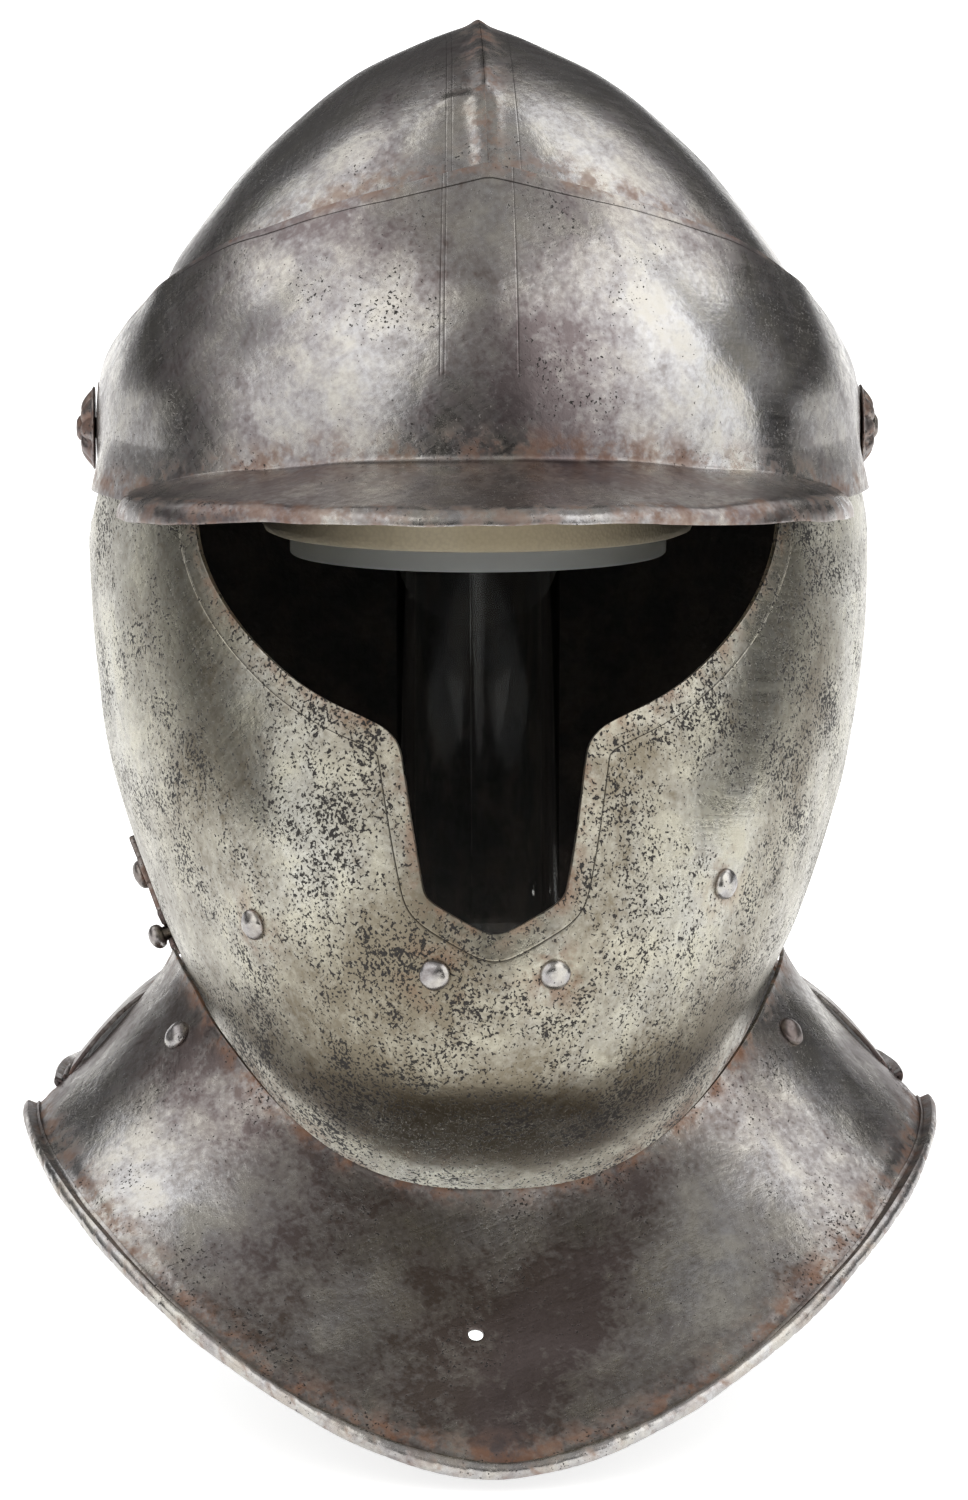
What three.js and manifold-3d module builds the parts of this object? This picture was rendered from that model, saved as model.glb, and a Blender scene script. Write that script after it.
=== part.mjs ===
import * as THREE from 'three';
import { mergeVertices } from 'three/addons/utils/BufferGeometryUtils.js';
import Module from 'manifold-3d';

const wasm = await Module();
wasm.setup();

// Shapes are worked out about the pivot line: x to the wearer's left, d forward, z up, in mm.
const pivotHeight = 268;
const plateThickness = 1.4;
const layerGap = 0.55;
const seamGap = 0.3;
const poleHalfWidth = 105;
const crownRadius = 115.5;

// The pointed section over the top of the skull, from the comb to the pivot.
const crownSection = [
  { s: 0, x: 0, r: 115.5 },
  { s: 0.12, x: 14.5, r: 110.2 },
  { s: 0.26, x: 37, r: 99 },
  { s: 0.45, x: 63.5, r: 76.4 },
  { s: 0.63, x: 84.5, r: 50.6 },
  { s: 0.74, x: 90.9, r: 38.5 },
  { s: 0.83, x: 97.6, r: 27.5 },
  { s: 0.91, x: 103.4, r: 16.3 },
  { s: 1, x: 105, r: 0 },
];

// Level sections below the pivots: half width, reach to the front, reach to the rear.
const levelSections = [
  { z: 4, half: 105, front: 115.5, rear: 115.5 },
  { z: 0, half: 105, front: 115.5, rear: 115.5 },
  { z: -10, half: 107.6, front: 116, rear: 115.3 },
  { z: -20, half: 109.1, front: 117.5, rear: 114.8 },
  { z: -30, half: 109.5, front: 120, rear: 113.8 },
  { z: -45, half: 109.2, front: 126, rear: 111.5 },
  { z: -60, half: 108.4, front: 132, rear: 108 },
  { z: -79, half: 106.2, front: 138, rear: 102.5 },
  { z: -95, half: 103.1, front: 142.2, rear: 97 },
  { z: -108, half: 99.6, front: 144, rear: 92 },
  { z: -123, half: 95, front: 145, rear: 86.5 },
  { z: -137, half: 90, front: 144.5, rear: 82 },
  { z: -150, half: 84.2, front: 142, rear: 79 },
  { z: -168, half: 78, front: 134, rear: 77 },
  { z: -185, half: 74, front: 115, rear: 77 },
  { z: -208, half: 70, front: 86, rear: 77 },
];

// Upper edge of the fall, as an angle up from the brow.
const fallTopEdge = [
  { s: 0, angle: 42.3 },
  { s: 0.1, angle: 41.2 },
  { s: 0.2, angle: 40.5 },
  { s: 0.3, angle: 40.8 },
  { s: 0.4, angle: 42 },
  { s: 0.53, angle: 46.5 },
  { s: 0.65, angle: 53 },
  { s: 0.76, angle: 62 },
  { s: 0.86, angle: 85 },
  { s: 0.93, angle: 150 },
];

// Half outline of the face opening, seen from the front.
const faceOpening = [
  { x: 78.6, z: 20 },
  { x: 78.6, z: -18 },
  { x: 76.5, z: -29.5 },
  { x: 70, z: -41.5 },
  { x: 57.5, z: -54.5 },
  { x: 45, z: -62.3 },
  { x: 32, z: -66.8 },
  { x: 27, z: -69.5 },
  { x: 24.3, z: -74 },
  { x: 23.3, z: -80 },
  { x: 20.9, z: -98 },
  { x: 18, z: -113 },
  { x: 14, z: -116.5 },
  { x: 3, z: -121.5 },
];

// Cheek cut of the skull plate, seen from the side.
const skullFaceCut = [
  { d: 18, z: -170 },
  { d: 18, z: -2 },
  { d: 21, z: 6 },
  { d: 30, z: 11 },
  { d: 200, z: 11 },
  { d: 200, z: -170 },
];

const brow = { dropAtSide: 16, sideStation: 0.67, lastStation: 0.93 };
const peak = { half: 97, root: 60, reach: 98, zSide: -19, rise: 8.5 };
const arm = { flat: 12, faired: 32, bevorRadius: 9 };
const bevorEdge = { frontTop: -9, front: -207, side: -158 };
const rear = { neckHalf: 88.2, neckReach: 95.5, neckZ: -138, neckDrop: 21, side: 11, rimSide: 11.2 };
const rearRim = { half: 122, reach: 163, z: -236, lift: 46, sweep: 1.35, sideSweep: 0.62 };
const neck = { z: -200, lift: 51, power: 2.7, wrap: 0.944, offSide: 4.6, offFront: 9 };
const rim = { half: 130.5, side: 12.2, reach: 160.8, z: -263, lift: 66, power: 1.66 };
const rimRoll = { swell: 1.8, share: 0.06 };
const gorgetHole = { x: -3.5, z: -231, radius: 2.2 };
const pivot = { hole: 3.5, shank: 3, head: 11.6, height: 5.4, tail: 6, petals: 8 };
const rivet = { hole: 2.4, shank: 2, head: 4.3, height: 2.5, tail: 3.2, gap: 0.5 };
const hook = { d: -14, z: -130.5, thickness: 1.8, eye: 5.6, width: 6.4, end: 7.2, slot: 5.8 };
const stud = { forward: 11, drop: 17, neck: 2.1, knob: 3.6 };
const stand = { foot: 58, footThick: 8, tube: 23.5, bore: 18.5, disc: 54, discThick: 5.9, pad: 62 };
const standLevels = { discBottom: -36, padBottom: -29.8, padShoulder: 22, padTop: 113 };

// Stations of the sheets: along the comb to the pivot, over the crown, and down the sides.
const combStations = [-0.03, 0.08, 0.2, 0.33, 0.46, 0.59, 0.71, 0.83, 0.9, 0.945];
const crownAngles = Array.from({ length: 16 }, (_, i) => i * 12);
const sideLevels = [0, -8, -16, -25, -36, -50, -67, -86, -105, -124, -142, -158];
const cheekTurns = [0, 4.95, 9, 15.3, 21, 28, 36, 44, 53, 62, 70, 77, 83.5, 90];
const fallStations = [0, 0.07, 0.15, 0.24, 0.33, 0.43, 0.53, 0.6, 0.67, 0.74, 0.81, 0.87, 0.93];

function along(rows, key, column, at) {
  const rising = rows[1][key] > rows[0][key] ? 1 : -1;
  let i = 0;
  while (i < rows.length - 2 && rising * at > rising * rows[i + 1][key]) {
    i += 1;
  }
  const k0 = rows[i][key];
  const k1 = rows[i + 1][key];
  const u = THREE.MathUtils.clamp((at - k0) / (k1 - k0), 0, 1);
  const slope = (j) => {
    const a = Math.max(j - 1, 0);
    const b = Math.min(j + 1, rows.length - 1);
    return (rows[b][column] - rows[a][column]) / (rows[b][key] - rows[a][key]);
  };
  const m0 = slope(i) * (k1 - k0);
  const m1 = slope(i + 1) * (k1 - k0);
  const u2 = u * u;
  const u3 = u2 * u;
  const start = (2 * u3 - 3 * u2 + 1) * rows[i][column] + (u3 - 2 * u2 + u) * m0;
  return start + (3 * u2 - 2 * u3) * rows[i + 1][column] + (u3 - u2) * m1;
}

const level = (column, z) => along(levelSections, 'z', column, Math.min(z, 0));
const quarter = Math.PI / 2;
const smooth = THREE.MathUtils.smoothstep;
const mix = THREE.MathUtils.lerp;
const radians = THREE.MathUtils.degToRad;

function place(x, d, z) {
  return new THREE.Vector3(x, -d, z + pivotHeight);
}

// Skull surface above the pivots: pointed over the top, round at the brow and at the back.
function crownStation(s, round) {
  if (s < 0) {
    const a = crownStation(0, round);
    const b = crownStation(0.01, round);
    return { x: (b.x - a.x) * s * 100, r: a.r + (b.r - a.r) * s * 100 };
  }
  const x = mix(along(crownSection, 's', 'x', s), poleHalfWidth * Math.sin(quarter * s), round);
  const r = mix(along(crownSection, 's', 'r', s), crownRadius * Math.cos(quarter * s), round);
  return { x, r };
}

function crownPoint(s, angle) {
  const ahead = Math.cos(angle);
  const { x, r } = crownStation(s, ahead > 0 ? ahead ** 2 : ahead ** 4);
  return place(x, r * ahead, r * Math.sin(angle));
}

// Side surface, flat and round about the pivot itself.
function polarX(d, z) {
  return poleHalfWidth * Math.sqrt(Math.max(0, 1 - (d * d + z * z) / crownRadius ** 2));
}

function sideX(d, z, reach) {
  const sectionX = level('half', z) * Math.sqrt(Math.max(0, 1 - (d / reach) ** 2));
  return mix(polarX(d, z), sectionX, smooth(Math.hypot(d, z), arm.flat, arm.faired));
}

// A sheet of joined patches that is given its thickness at the end.
class Sheet {
  constructor(core) {
    this.core = core;
    this.spots = [];
    this.faces = [];
  }

  spot(point) {
    const found = this.spots.findIndex((other) => other.distanceToSquared(point) < 1e-6);
    if (found >= 0) {
      return found;
    }
    return this.spots.push(point) - 1;
  }

  face(a, b, c) {
    if (a !== b && b !== c && c !== a) {
      this.faces.push([a, b, c]);
    }
  }

  // Every face is turned the way of its neighbour, and the first one away from the core.
  orient() {
    const key = (a, b) => (a < b ? `${a} ${b}` : `${b} ${a}`);
    const sidesOf = ([a, b, c]) => [[a, b], [b, c], [c, a]];
    const meeting = new Map();
    this.faces.forEach((face, k) => {
      for (const [a, b] of sidesOf(face)) {
        meeting.set(key(a, b), (meeting.get(key(a, b)) ?? []).concat(k));
      }
    });
    const [p, q, r] = this.faces[0].map((k) => this.spots[k]);
    const across = q.clone().sub(p).cross(r.clone().sub(p));
    if (across.dot(p.clone().sub(this.core)) < 0) {
      this.faces[0].reverse();
    }
    const turnedFaces = new Set([0]);
    const queue = [0];
    while (queue.length > 0) {
      const here = queue.pop();
      for (const [a, b] of sidesOf(this.faces[here])) {
        for (const next of meeting.get(key(a, b))) {
          if (!turnedFaces.has(next)) {
            if (sidesOf(this.faces[next]).some(([c, d]) => c === a && d === b)) {
              this.faces[next].reverse();
            }
            turnedFaces.add(next);
            queue.push(next);
          }
        }
      }
    }
  }

  grid(columns, rows, at) {
    const ids = rows.map((row) => columns.map((column) => this.spot(at(column, row))));
    for (let i = 0; i + 1 < rows.length; i += 1) {
      for (let j = 0; j + 1 < columns.length; j += 1) {
        this.face(ids[i][j], ids[i][j + 1], ids[i + 1][j + 1]);
        this.face(ids[i][j], ids[i + 1][j + 1], ids[i + 1][j]);
      }
    }
    return this;
  }

  fan(centre, ring) {
    const hub = this.spot(centre);
    const ids = ring.map((point) => this.spot(point));
    for (let i = 0; i + 1 < ids.length; i += 1) {
      this.face(hub, ids[i], ids[i + 1]);
    }
    return this;
  }

  thicken(offsets) {
    this.orient();
    const normals = this.spots.map(() => new THREE.Vector3());
    const sides = new Set();
    for (const [a, b, c] of this.faces) {
      const [p, q, r] = [a, b, c].map((k) => this.spots[k]);
      const across = q.clone().sub(p).cross(r.clone().sub(p));
      [a, b, c].forEach((k) => normals[k].add(across));
      [[a, b], [b, c], [c, a]].forEach(([from, to]) => sides.add(`${from} ${to}`));
    }
    const count = this.spots.length;
    const outer = [];
    const inner = [];
    this.spots.forEach((point, k) => {
      const normal = normals[k].normalize();
      const [low, high] = offsets(point);
      outer.push(point.clone().addScaledVector(normal, high));
      inner.push(point.clone().addScaledVector(normal, low));
    });
    const index = [];
    for (const [a, b, c] of this.faces) {
      index.push(a, b, c, count + a, count + c, count + b);
    }
    for (const key of sides) {
      const [a, b] = key.split(' ').map(Number);
      if (!sides.has(`${b} ${a}`)) {
        index.push(b, a, count + a, b, count + a, count + b);
      }
    }
    return closed(outer.concat(inner), index);
  }
}

function closed(points, index) {
  const geometry = new THREE.BufferGeometry().setFromPoints(points);
  geometry.setIndex(index);
  return solid(geometry);
}

function solid(geometry) {
  const bare = new THREE.BufferGeometry();
  bare.setAttribute('position', geometry.getAttribute('position').clone());
  if (geometry.index) {
    bare.setIndex(geometry.index.clone());
  }
  const merged = mergeVertices(bare, 1e-4);
  const at = merged.getAttribute('position');
  const index = merged.index.array;
  const kept = [];
  let volume = 0;
  for (let i = 0; i < index.length; i += 3) {
    const [a, b, c] = [index[i], index[i + 1], index[i + 2]];
    if (a !== b && b !== c && c !== a) {
      kept.push(a, b, c);
      const [p, q, r] = [a, b, c].map((k) => new THREE.Vector3().fromBufferAttribute(at, k));
      volume += p.dot(q.cross(r));
    }
  }
  if (volume < 0) {
    for (let i = 0; i < kept.length; i += 3) {
      [kept[i + 1], kept[i + 2]] = [kept[i + 2], kept[i + 1]];
    }
  }
  const mesh = new wasm.Mesh({
    numProp: 3,
    vertProperties: new Float32Array(at.array),
    triVerts: new Uint32Array(kept),
  });
  return new wasm.Manifold(mesh);
}

// A turned solid about a direction: rows of radius and height along it.
function turned(rows, origin, direction, segments, lobes = 0) {
  const profile = rows.map(([radius, height]) => new THREE.Vector2(radius, height));
  const geometry = new THREE.LatheGeometry(profile, segments);
  const at = geometry.getAttribute('position');
  for (let i = 0; i < at.count && lobes > 0; i += 1) {
    const radius = Math.hypot(at.getX(i), at.getZ(i));
    if (at.getY(i) > 0 && radius > pivot.head * 0.6) {
      const swell = 1 - 0.045 * (1 + Math.cos(lobes * Math.atan2(at.getZ(i), at.getX(i))));
      at.setXYZ(i, at.getX(i) * swell, at.getY(i), at.getZ(i) * swell);
    }
  }
  const turn = new THREE.Quaternion().setFromUnitVectors(new THREE.Vector3(0, 1, 0), direction);
  geometry.applyQuaternion(turn);
  geometry.translate(origin.x, origin.y, origin.z);
  return solid(geometry);
}

function pin(origin, direction, radius, length, segments = 12) {
  const rows = [[0, -length], [radius, -length], [radius, length], [0, length]];
  return turned(rows, origin, direction, segments);
}

function mirrored(shape) {
  const mesh = shape.getMesh();
  const points = [];
  for (let i = 0; i < mesh.vertProperties.length; i += mesh.numProp) {
    const [x, y, z] = mesh.vertProperties.subarray(i, i + 3);
    points.push(new THREE.Vector3(-x, y, z));
  }
  return closed(points, Array.from(mesh.triVerts));
}

// A wall along one level direction, for cuts made from the front or from the side.
function wall(outline, from, to, alongX) {
  const shape = new THREE.Shape(outline.map(([a, b]) => new THREE.Vector2(a, b)));
  const geometry = new THREE.ExtrudeGeometry(shape, { depth: to - from, bevelEnabled: false });
  const at = geometry.getAttribute('position');
  for (let i = 0; i < at.count; i += 1) {
    const across = at.getX(i);
    const deep = at.getZ(i) + from;
    const spot = alongX ? place(deep, across, at.getY(i)) : place(across, deep, at.getY(i));
    at.setXYZ(i, spot.x, spot.y, spot.z);
  }
  return solid(geometry);
}

// Where a line through a plate goes in and comes out.
function through(shape, spot, way, reach) {
  const mesh = shape.getMesh();
  const ray = new THREE.Ray(spot.clone().addScaledVector(way, -reach), way);
  const corner = (k) => new THREE.Vector3().fromArray(mesh.vertProperties, k * mesh.numProp);
  const hits = [];
  for (let i = 0; i < mesh.triVerts.length; i += 3) {
    const [a, b, c] = mesh.triVerts.subarray(i, i + 3);
    const hit = ray.intersectTriangle(corner(a), corner(b), corner(c), false, new THREE.Vector3());
    if (hit) {
      hits.push(hit.sub(spot).dot(way));
    }
  }
  const near = hits.filter((at) => at < reach);
  return { low: Math.min(...near), high: Math.max(...near) };
}

const headCore = place(0, 0, -60);
const gorgetCore = place(0, 0, -340);
const xAxis = new THREE.Vector3(1, 0, 0);
const pivotHole = (side) => pin(place(side * poleHalfWidth, 0, 0), xAxis, pivot.hole, 12, 16);
const bothSides = (list) => list.slice(1).reverse().map((value) => -value).concat(list);
const signOf = (value) => (value < 0 ? -1 : 1);

// Skull, built as the wearer's left half and mirrored.
function skullHalf() {
  const sheet = new Sheet(headCore);
  sheet.grid(combStations, crownAngles, (s, angle) => crownPoint(s, radians(angle)));
  const sidePoint = (turn, z) => {
    const reach = level(turn < 0 ? 'rear' : 'front', z);
    const d = reach * Math.sin(radians(turn));
    return place(sideX(d, z, reach) * signOf(Math.cos(radians(turn))), d, z);
  };
  const turns = combStations.map((s) => -90 * (1 - s)).concat(cheekTurns.slice(0, 4));
  sheet.grid(turns, sideLevels, sidePoint);
  const last = combStations.at(-1);
  const pole = place(poleHalfWidth, 0, 0);
  sheet.fan(pole, crownAngles.map((angle) => crownPoint(last, radians(angle))));
  const cut = skullFaceCut.map((row) => [row.d, row.z]);
  const half = new THREE.BoxGeometry(300, 600, 600);
  half.translate(150 + seamGap / 2, 0, pivotHeight);
  const shell = sheet.thicken(() => [-plateThickness, 0]);
  return shell.subtract(wall(cut, 0, 200, true)).intersect(solid(half)).subtract(pivotHole(1));
}

function fallAngles(s) {
  const reach = Math.abs(s);
  const radius = crownRadius * Math.cos(quarter * reach);
  const drop = brow.dropAtSide * Math.min(1, reach / brow.sideStation) ** 2;
  const low = -Math.asin(Math.min(1, drop / radius));
  return { low, high: radians(along(fallTopEdge, 's', 'angle', reach)) };
}

function browPoint(s, angle) {
  const reach = Math.abs(s);
  if (angle >= 0) {
    const spot = crownPoint(reach, angle);
    return spot.setX(spot.x * signOf(s));
  }
  const radius = crownRadius * Math.cos(quarter * reach);
  const d = radius * Math.cos(angle);
  const z = radius * Math.sin(angle);
  return place(signOf(s) * sideX(d, z, level('front', z)), d, z);
}

// The fall lies on the skull at the brow and stands off at the sides to clear the bevor.
function fallInner(x, z) {
  const overBevor = smooth(Math.abs(x), 55, 80) * (1 - smooth(z, 12, 34));
  const overSkull = smooth(Math.abs(x), 82, 98);
  return layerGap + 0.2 + 1.95 * Math.max(overBevor, overSkull);
}

function fallPlate() {
  const sheet = new Sheet(headCore);
  const shares = Array.from({ length: 10 }, (_, i) => i / 9);
  const stations = bothSides(fallStations);
  sheet.grid(stations, shares, (s, share) => {
    const { low, high } = fallAngles(s);
    return browPoint(s, mix(low, high, share));
  });
  const flanged = stations.filter((s) => Math.abs(s) <= brow.sideStation);
  sheet.grid(flanged, [0, 0.5, 1], (s, share) => {
    const root = browPoint(s, fallAngles(s).low);
    const turn = (quarter * s) / brow.sideStation;
    const ahead = Math.cos(turn);
    const across = peak.half * Math.sin(turn);
    const edge = place(across, peak.root + peak.reach * ahead, peak.zSide + peak.rise * ahead);
    return root.lerp(edge, share);
  });
  for (const side of [-1, 1]) {
    const s = side * brow.lastStation;
    const { low, high } = fallAngles(s);
    const radius = crownRadius * Math.cos(quarter * brow.lastStation);
    const ring = shares.map((share) => browPoint(s, mix(low, high, share)));
    for (let i = 1; i <= 8; i += 1) {
      const angle = mix(high, low + 2 * Math.PI, i / 8);
      const [d, z] = [radius * Math.cos(angle), radius * Math.sin(angle)];
      ring.push(i === 8 ? browPoint(s, low) : place(side * polarX(d, z), d, z));
    }
    sheet.fan(place(side * poleHalfWidth, 0, 0), ring);
  }
  const shell = sheet.thicken((point) => {
    const inner = fallInner(point.x, point.z - pivotHeight);
    return [inner, inner + plateThickness];
  });
  return shell.subtract(pivotHole(-1)).subtract(pivotHole(1));
}

function bevorPoint(turn, z) {
  const side = signOf(turn);
  const ahead = 90 - Math.abs(turn);
  const reach = level('front', z);
  if (ahead < 0) {
    return place(side * sideX(-arm.bevorRadius, z, 1e4), -arm.bevorRadius, z);
  }
  const d = reach * Math.sin(radians(ahead));
  return place(side * sideX(d, z, reach), d, z);
}

const bevorOffsets = () => [layerGap, layerGap + plateThickness];

function bevorPlate() {
  const sheet = new Sheet(headCore);
  const turns = bothSides(cheekTurns.map((turn) => 90 - turn).reverse().concat([91]));
  const shares = sideLevels.map((z) => z / sideLevels.at(-1));
  sheet.grid(turns, shares, (turn, share) => {
    const ahead = 90 - Math.abs(turn);
    const top = bevorEdge.frontTop * smooth(ahead, 20, 45);
    const bottom = mix(bevorEdge.side, bevorEdge.front, smooth(ahead, 15, 80));
    return bevorPoint(turn, mix(top, bottom, share));
  });
  for (const side of [-1, 1]) {
    const ring = [bevorPoint(side * (90 - cheekTurns[1]), 0)];
    for (let i = 1; i < 8; i += 1) {
      const angle = (Math.PI * i) / 8;
      const radius = mix(crownRadius * Math.sin(radians(cheekTurns[1])), arm.bevorRadius, i / 8);
      const [d, z] = [radius * Math.cos(angle), radius * Math.sin(angle)];
      ring.push(place(side * polarX(d, z), d, z));
    }
    ring.push(bevorPoint(side * 91, 0));
    sheet.fan(place(side * poleHalfWidth, 0, 0), ring);
  }
  const right = faceOpening.map((row) => [row.x, row.z]);
  const left = faceOpening.map((row) => [-row.x, row.z]).reverse();
  const shell = sheet.thicken(bevorOffsets);
  const opened = shell.subtract(wall(right.concat(left), 30, 260, false));
  return opened.subtract(pivotHole(-1)).subtract(pivotHole(1));
}

// Gorget plates: a neck edge, a rim, and a hollow sweep between the two.
function neckPoint(turn) {
  const z = neck.z + neck.lift * Math.abs(Math.sin(turn)) ** neck.power;
  const spot = bevorPoint(THREE.MathUtils.radToDeg(turn) * neck.wrap, z);
  const out = new THREE.Vector3(spot.x / level('half', z) ** 2, spot.y / level('front', z) ** 2, 0);
  return spot.addScaledVector(out.normalize(), mix(neck.offSide, neck.offFront, Math.cos(turn) ** 2));
}

function frontGorgetPoint(turn, t) {
  const s = Math.sin(turn);
  const c = Math.cos(turn);
  const top = neckPoint(turn);
  const low = place(rim.half * s, rim.side + rim.reach * c, rim.z + rim.lift * Math.abs(s) ** rim.power);
  const k = t ** 1.25;
  return new THREE.Vector3(mix(top.x, low.x, k), mix(top.y, low.y, k), mix(top.z, low.z, t));
}

function rearGorgetPoint(turn, t) {
  const s = Math.sin(turn);
  const c = Math.cos(turn);
  const lift = rearRim.lift * Math.abs(s) ** 1.15;
  const top = [rear.neckHalf * s, rear.side - rear.neckReach * c, rear.neckZ - rear.neckDrop * s * s];
  const low = [rearRim.half * s, rear.rimSide - rearRim.reach * c, rearRim.z + lift];
  const k = t ** mix(rearRim.sweep, rearRim.sideSweep, s * s);
  return place(mix(top[0], low[0], k), mix(top[1], low[1], k), mix(top[2], low[2], t));
}

function gorgetPlate(surface) {
  const sheet = new Sheet(gorgetCore);
  const turns = Array.from({ length: 29 }, (_, i) => mix(-90, 90, i / 28));
  const shares = [0, 0.2, 0.4, 0.6, 0.8].concat([1, 0.67, 0.33, 0].map((k) => 1 - k * rimRoll.share));
  sheet.grid(turns, shares, (turn, share) => {
    const spot = surface(radians(turn), share);
    const round = (1 - share) / rimRoll.share;
    spot.swell = round < 0.99 ? rimRoll.swell * Math.sqrt(1 - (2 * round - 1) ** 2 * 0.8) : 0;
    return spot;
  });
  return sheet.thicken((spot) => [-plateThickness - spot.swell, spot.swell]);
}

// Rivets: a domed head outside, a shank, and a flat burr inside.
function rivetAt(spot, normal, grip) {
  const high = grip.high + rivet.gap;
  const low = grip.low - rivet.gap;
  const rows = [
    [0, low - 1],
    [rivet.tail, low - 1],
    [rivet.tail, low],
    [rivet.shank, low],
    [rivet.shank, high],
    [rivet.head, high],
    [rivet.head * 0.8, high + rivet.height * 0.6],
    [rivet.head * 0.42, high + rivet.height * 0.93],
    [0, high + rivet.height],
  ];
  return turned(rows, spot, normal, 10);
}

function rosetteAt(side) {
  const base = fallInner(poleHalfWidth, 0) + plateThickness + 0.35;
  const back = -plateThickness - 0.5;
  const top = base + pivot.height;
  const rows = [
    [0, back - 1.5],
    [pivot.tail, back - 1.5],
    [pivot.tail, back],
    [pivot.shank, back],
    [pivot.shank, base],
    [pivot.head, base],
    [pivot.head, base + 1.2],
    [pivot.head * 0.78, base + 3.6],
    [pivot.head * 0.4, top - 1],
    [pivot.head * 0.25, top],
    [0, top],
  ];
  const origin = place(side * poleHalfWidth, 0, 0);
  return turned(rows, origin, new THREE.Vector3(side, 0, 0), 24, pivot.petals);
}

function spotOn(surface, u, v, step, core) {
  const here = surface(u, v);
  const du = surface(u + step, v).sub(surface(u - step, v));
  const dv = surface(u, v + step).sub(surface(u, v - step));
  const normal = du.cross(dv).normalize();
  if (normal.dot(here.clone().sub(core)) < 0) {
    normal.negate();
  }
  return { here, normal };
}

// Swivel hook on the wearer's right: it lies flat to the cheek and closes on a stud.
const cheekFall = level('half', hook.z) - level('half', hook.z - stud.drop);
const cheekSlope = Math.atan(cheekFall / stud.drop);
const hookOut = new THREE.Vector3(-Math.cos(cheekSlope), 0, -Math.sin(cheekSlope));
const hookUp = new THREE.Vector3(-Math.sin(cheekSlope), 0, Math.cos(cheekSlope));
const hookAhead = new THREE.Vector3(0, -1, 0);
const cheekHalf = level('half', hook.z) + (layerGap + plateThickness) / Math.cos(cheekSlope);
const hookCentre = place(-cheekHalf, hook.d, hook.z).addScaledVector(hookOut, 0.8 + hook.thickness / 2);

function onHook(ahead, up) {
  return hookCentre.clone().addScaledVector(hookAhead, ahead).addScaledVector(hookUp, up);
}

function hookBar(from, to, wide, thick) {
  const way = new THREE.Vector2(to[0] - from[0], to[1] - from[1]);
  const geometry = new THREE.BoxGeometry(way.length(), wide, thick);
  geometry.applyMatrix4(new THREE.Matrix4().makeRotationZ(Math.atan2(way.y, way.x)));
  geometry.applyMatrix4(new THREE.Matrix4().makeBasis(hookAhead, hookUp, hookOut));
  const middle = onHook((from[0] + to[0]) / 2, (from[1] + to[1]) / 2);
  geometry.translate(middle.x, middle.y, middle.z);
  return solid(geometry);
}

function swivelHook() {
  const flat = hook.thickness / 2;
  const end = [stud.forward, -stud.drop];
  const eye = pin(hookCentre, hookOut, hook.eye, flat, 20);
  const claw = pin(onHook(...end), hookOut, hook.end, flat, 20);
  const shank = hookBar([0, 0], [end[0] - 5, end[1] + 3], hook.width, hook.thickness);
  const lever = hookBar([0, 0], [-3, 11], hook.width * 0.62, hook.thickness);
  const opening = hookBar(end, [end[0] + 12, end[1]], hook.slot, 6);
  const swung = [end[0] + stud.drop * 0.62, end[1] + stud.forward * 0.78];
  const swing = hookBar(end, swung, hook.slot, 6);
  const seat = pin(onHook(...end), hookOut, hook.slot / 2, 4, 16);
  const hole = pin(hookCentre, hookOut, rivet.hole, 4);
  const whole = eye.add(claw).add(shank).add(lever);
  return whole.subtract(opening).subtract(swing).subtract(seat).subtract(hole);
}

function studRows(grip) {
  const top = hook.thickness / 2 + 0.5;
  return [
    [0, grip.low + 0.15],
    [stud.neck, grip.low + 0.15],
    [stud.neck, top],
    [stud.knob * 0.8, top + 0.3],
    [stud.knob, top + 2],
    [stud.knob * 0.8, top + 3.8],
    [0, top + 4.8],
  ];
}

const steel = new THREE.MeshStandardMaterial({ color: 0x6f6a66, metalness: 0.9, roughness: 0.45 });
const clear = new THREE.MeshStandardMaterial({ color: 0xdfe8e6, transparent: true, opacity: 0.4 });
const cream = new THREE.MeshStandardMaterial({ color: 0xd9cfb4, roughness: 0.9 });
const helmet = new THREE.Group();

function node(name, shape, material) {
  const mesh = shape.getMesh();
  const points = [];
  for (let i = 0; i < mesh.vertProperties.length; i += mesh.numProp) {
    points.push(...mesh.vertProperties.subarray(i, i + 3));
  }
  const geometry = new THREE.BufferGeometry();
  geometry.setAttribute('position', new THREE.Float32BufferAttribute(points, 3));
  geometry.setIndex(Array.from(mesh.triVerts));
  geometry.computeVertexNormals();
  const made = new THREE.Mesh(geometry, material);
  made.name = name;
  helmet.add(made);
}

const bevorRivets = [
  { name: 'bevor_rivet_side_right', x: -62.6, z: -125 },
  { name: 'bevor_rivet_front_right', x: -15.5, z: -133 },
  { name: 'bevor_rivet_front_left', x: 15.4, z: -133 },
  { name: 'bevor_rivet_side_left', x: 61.7, z: -114 },
];
const gorgetRivets = [
  { name: 'gorget_rivet_right', turn: -71, t: 0.21 },
  { name: 'gorget_rivet_left', turn: 71, t: 0.21 },
];
const neckRivets = [
  { name: 'neck_rivet_right', turn: -24, t: 0.07 },
  { name: 'neck_rivet_left', turn: 24, t: 0.07 },
];

let skullLeft = skullHalf();
let skullRight = mirrored(skullLeft);
let bevor = bevorPlate();
let gorgetFront = gorgetPlate(frontGorgetPoint);
let gorgetRear = gorgetPlate(rearGorgetPoint);

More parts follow.
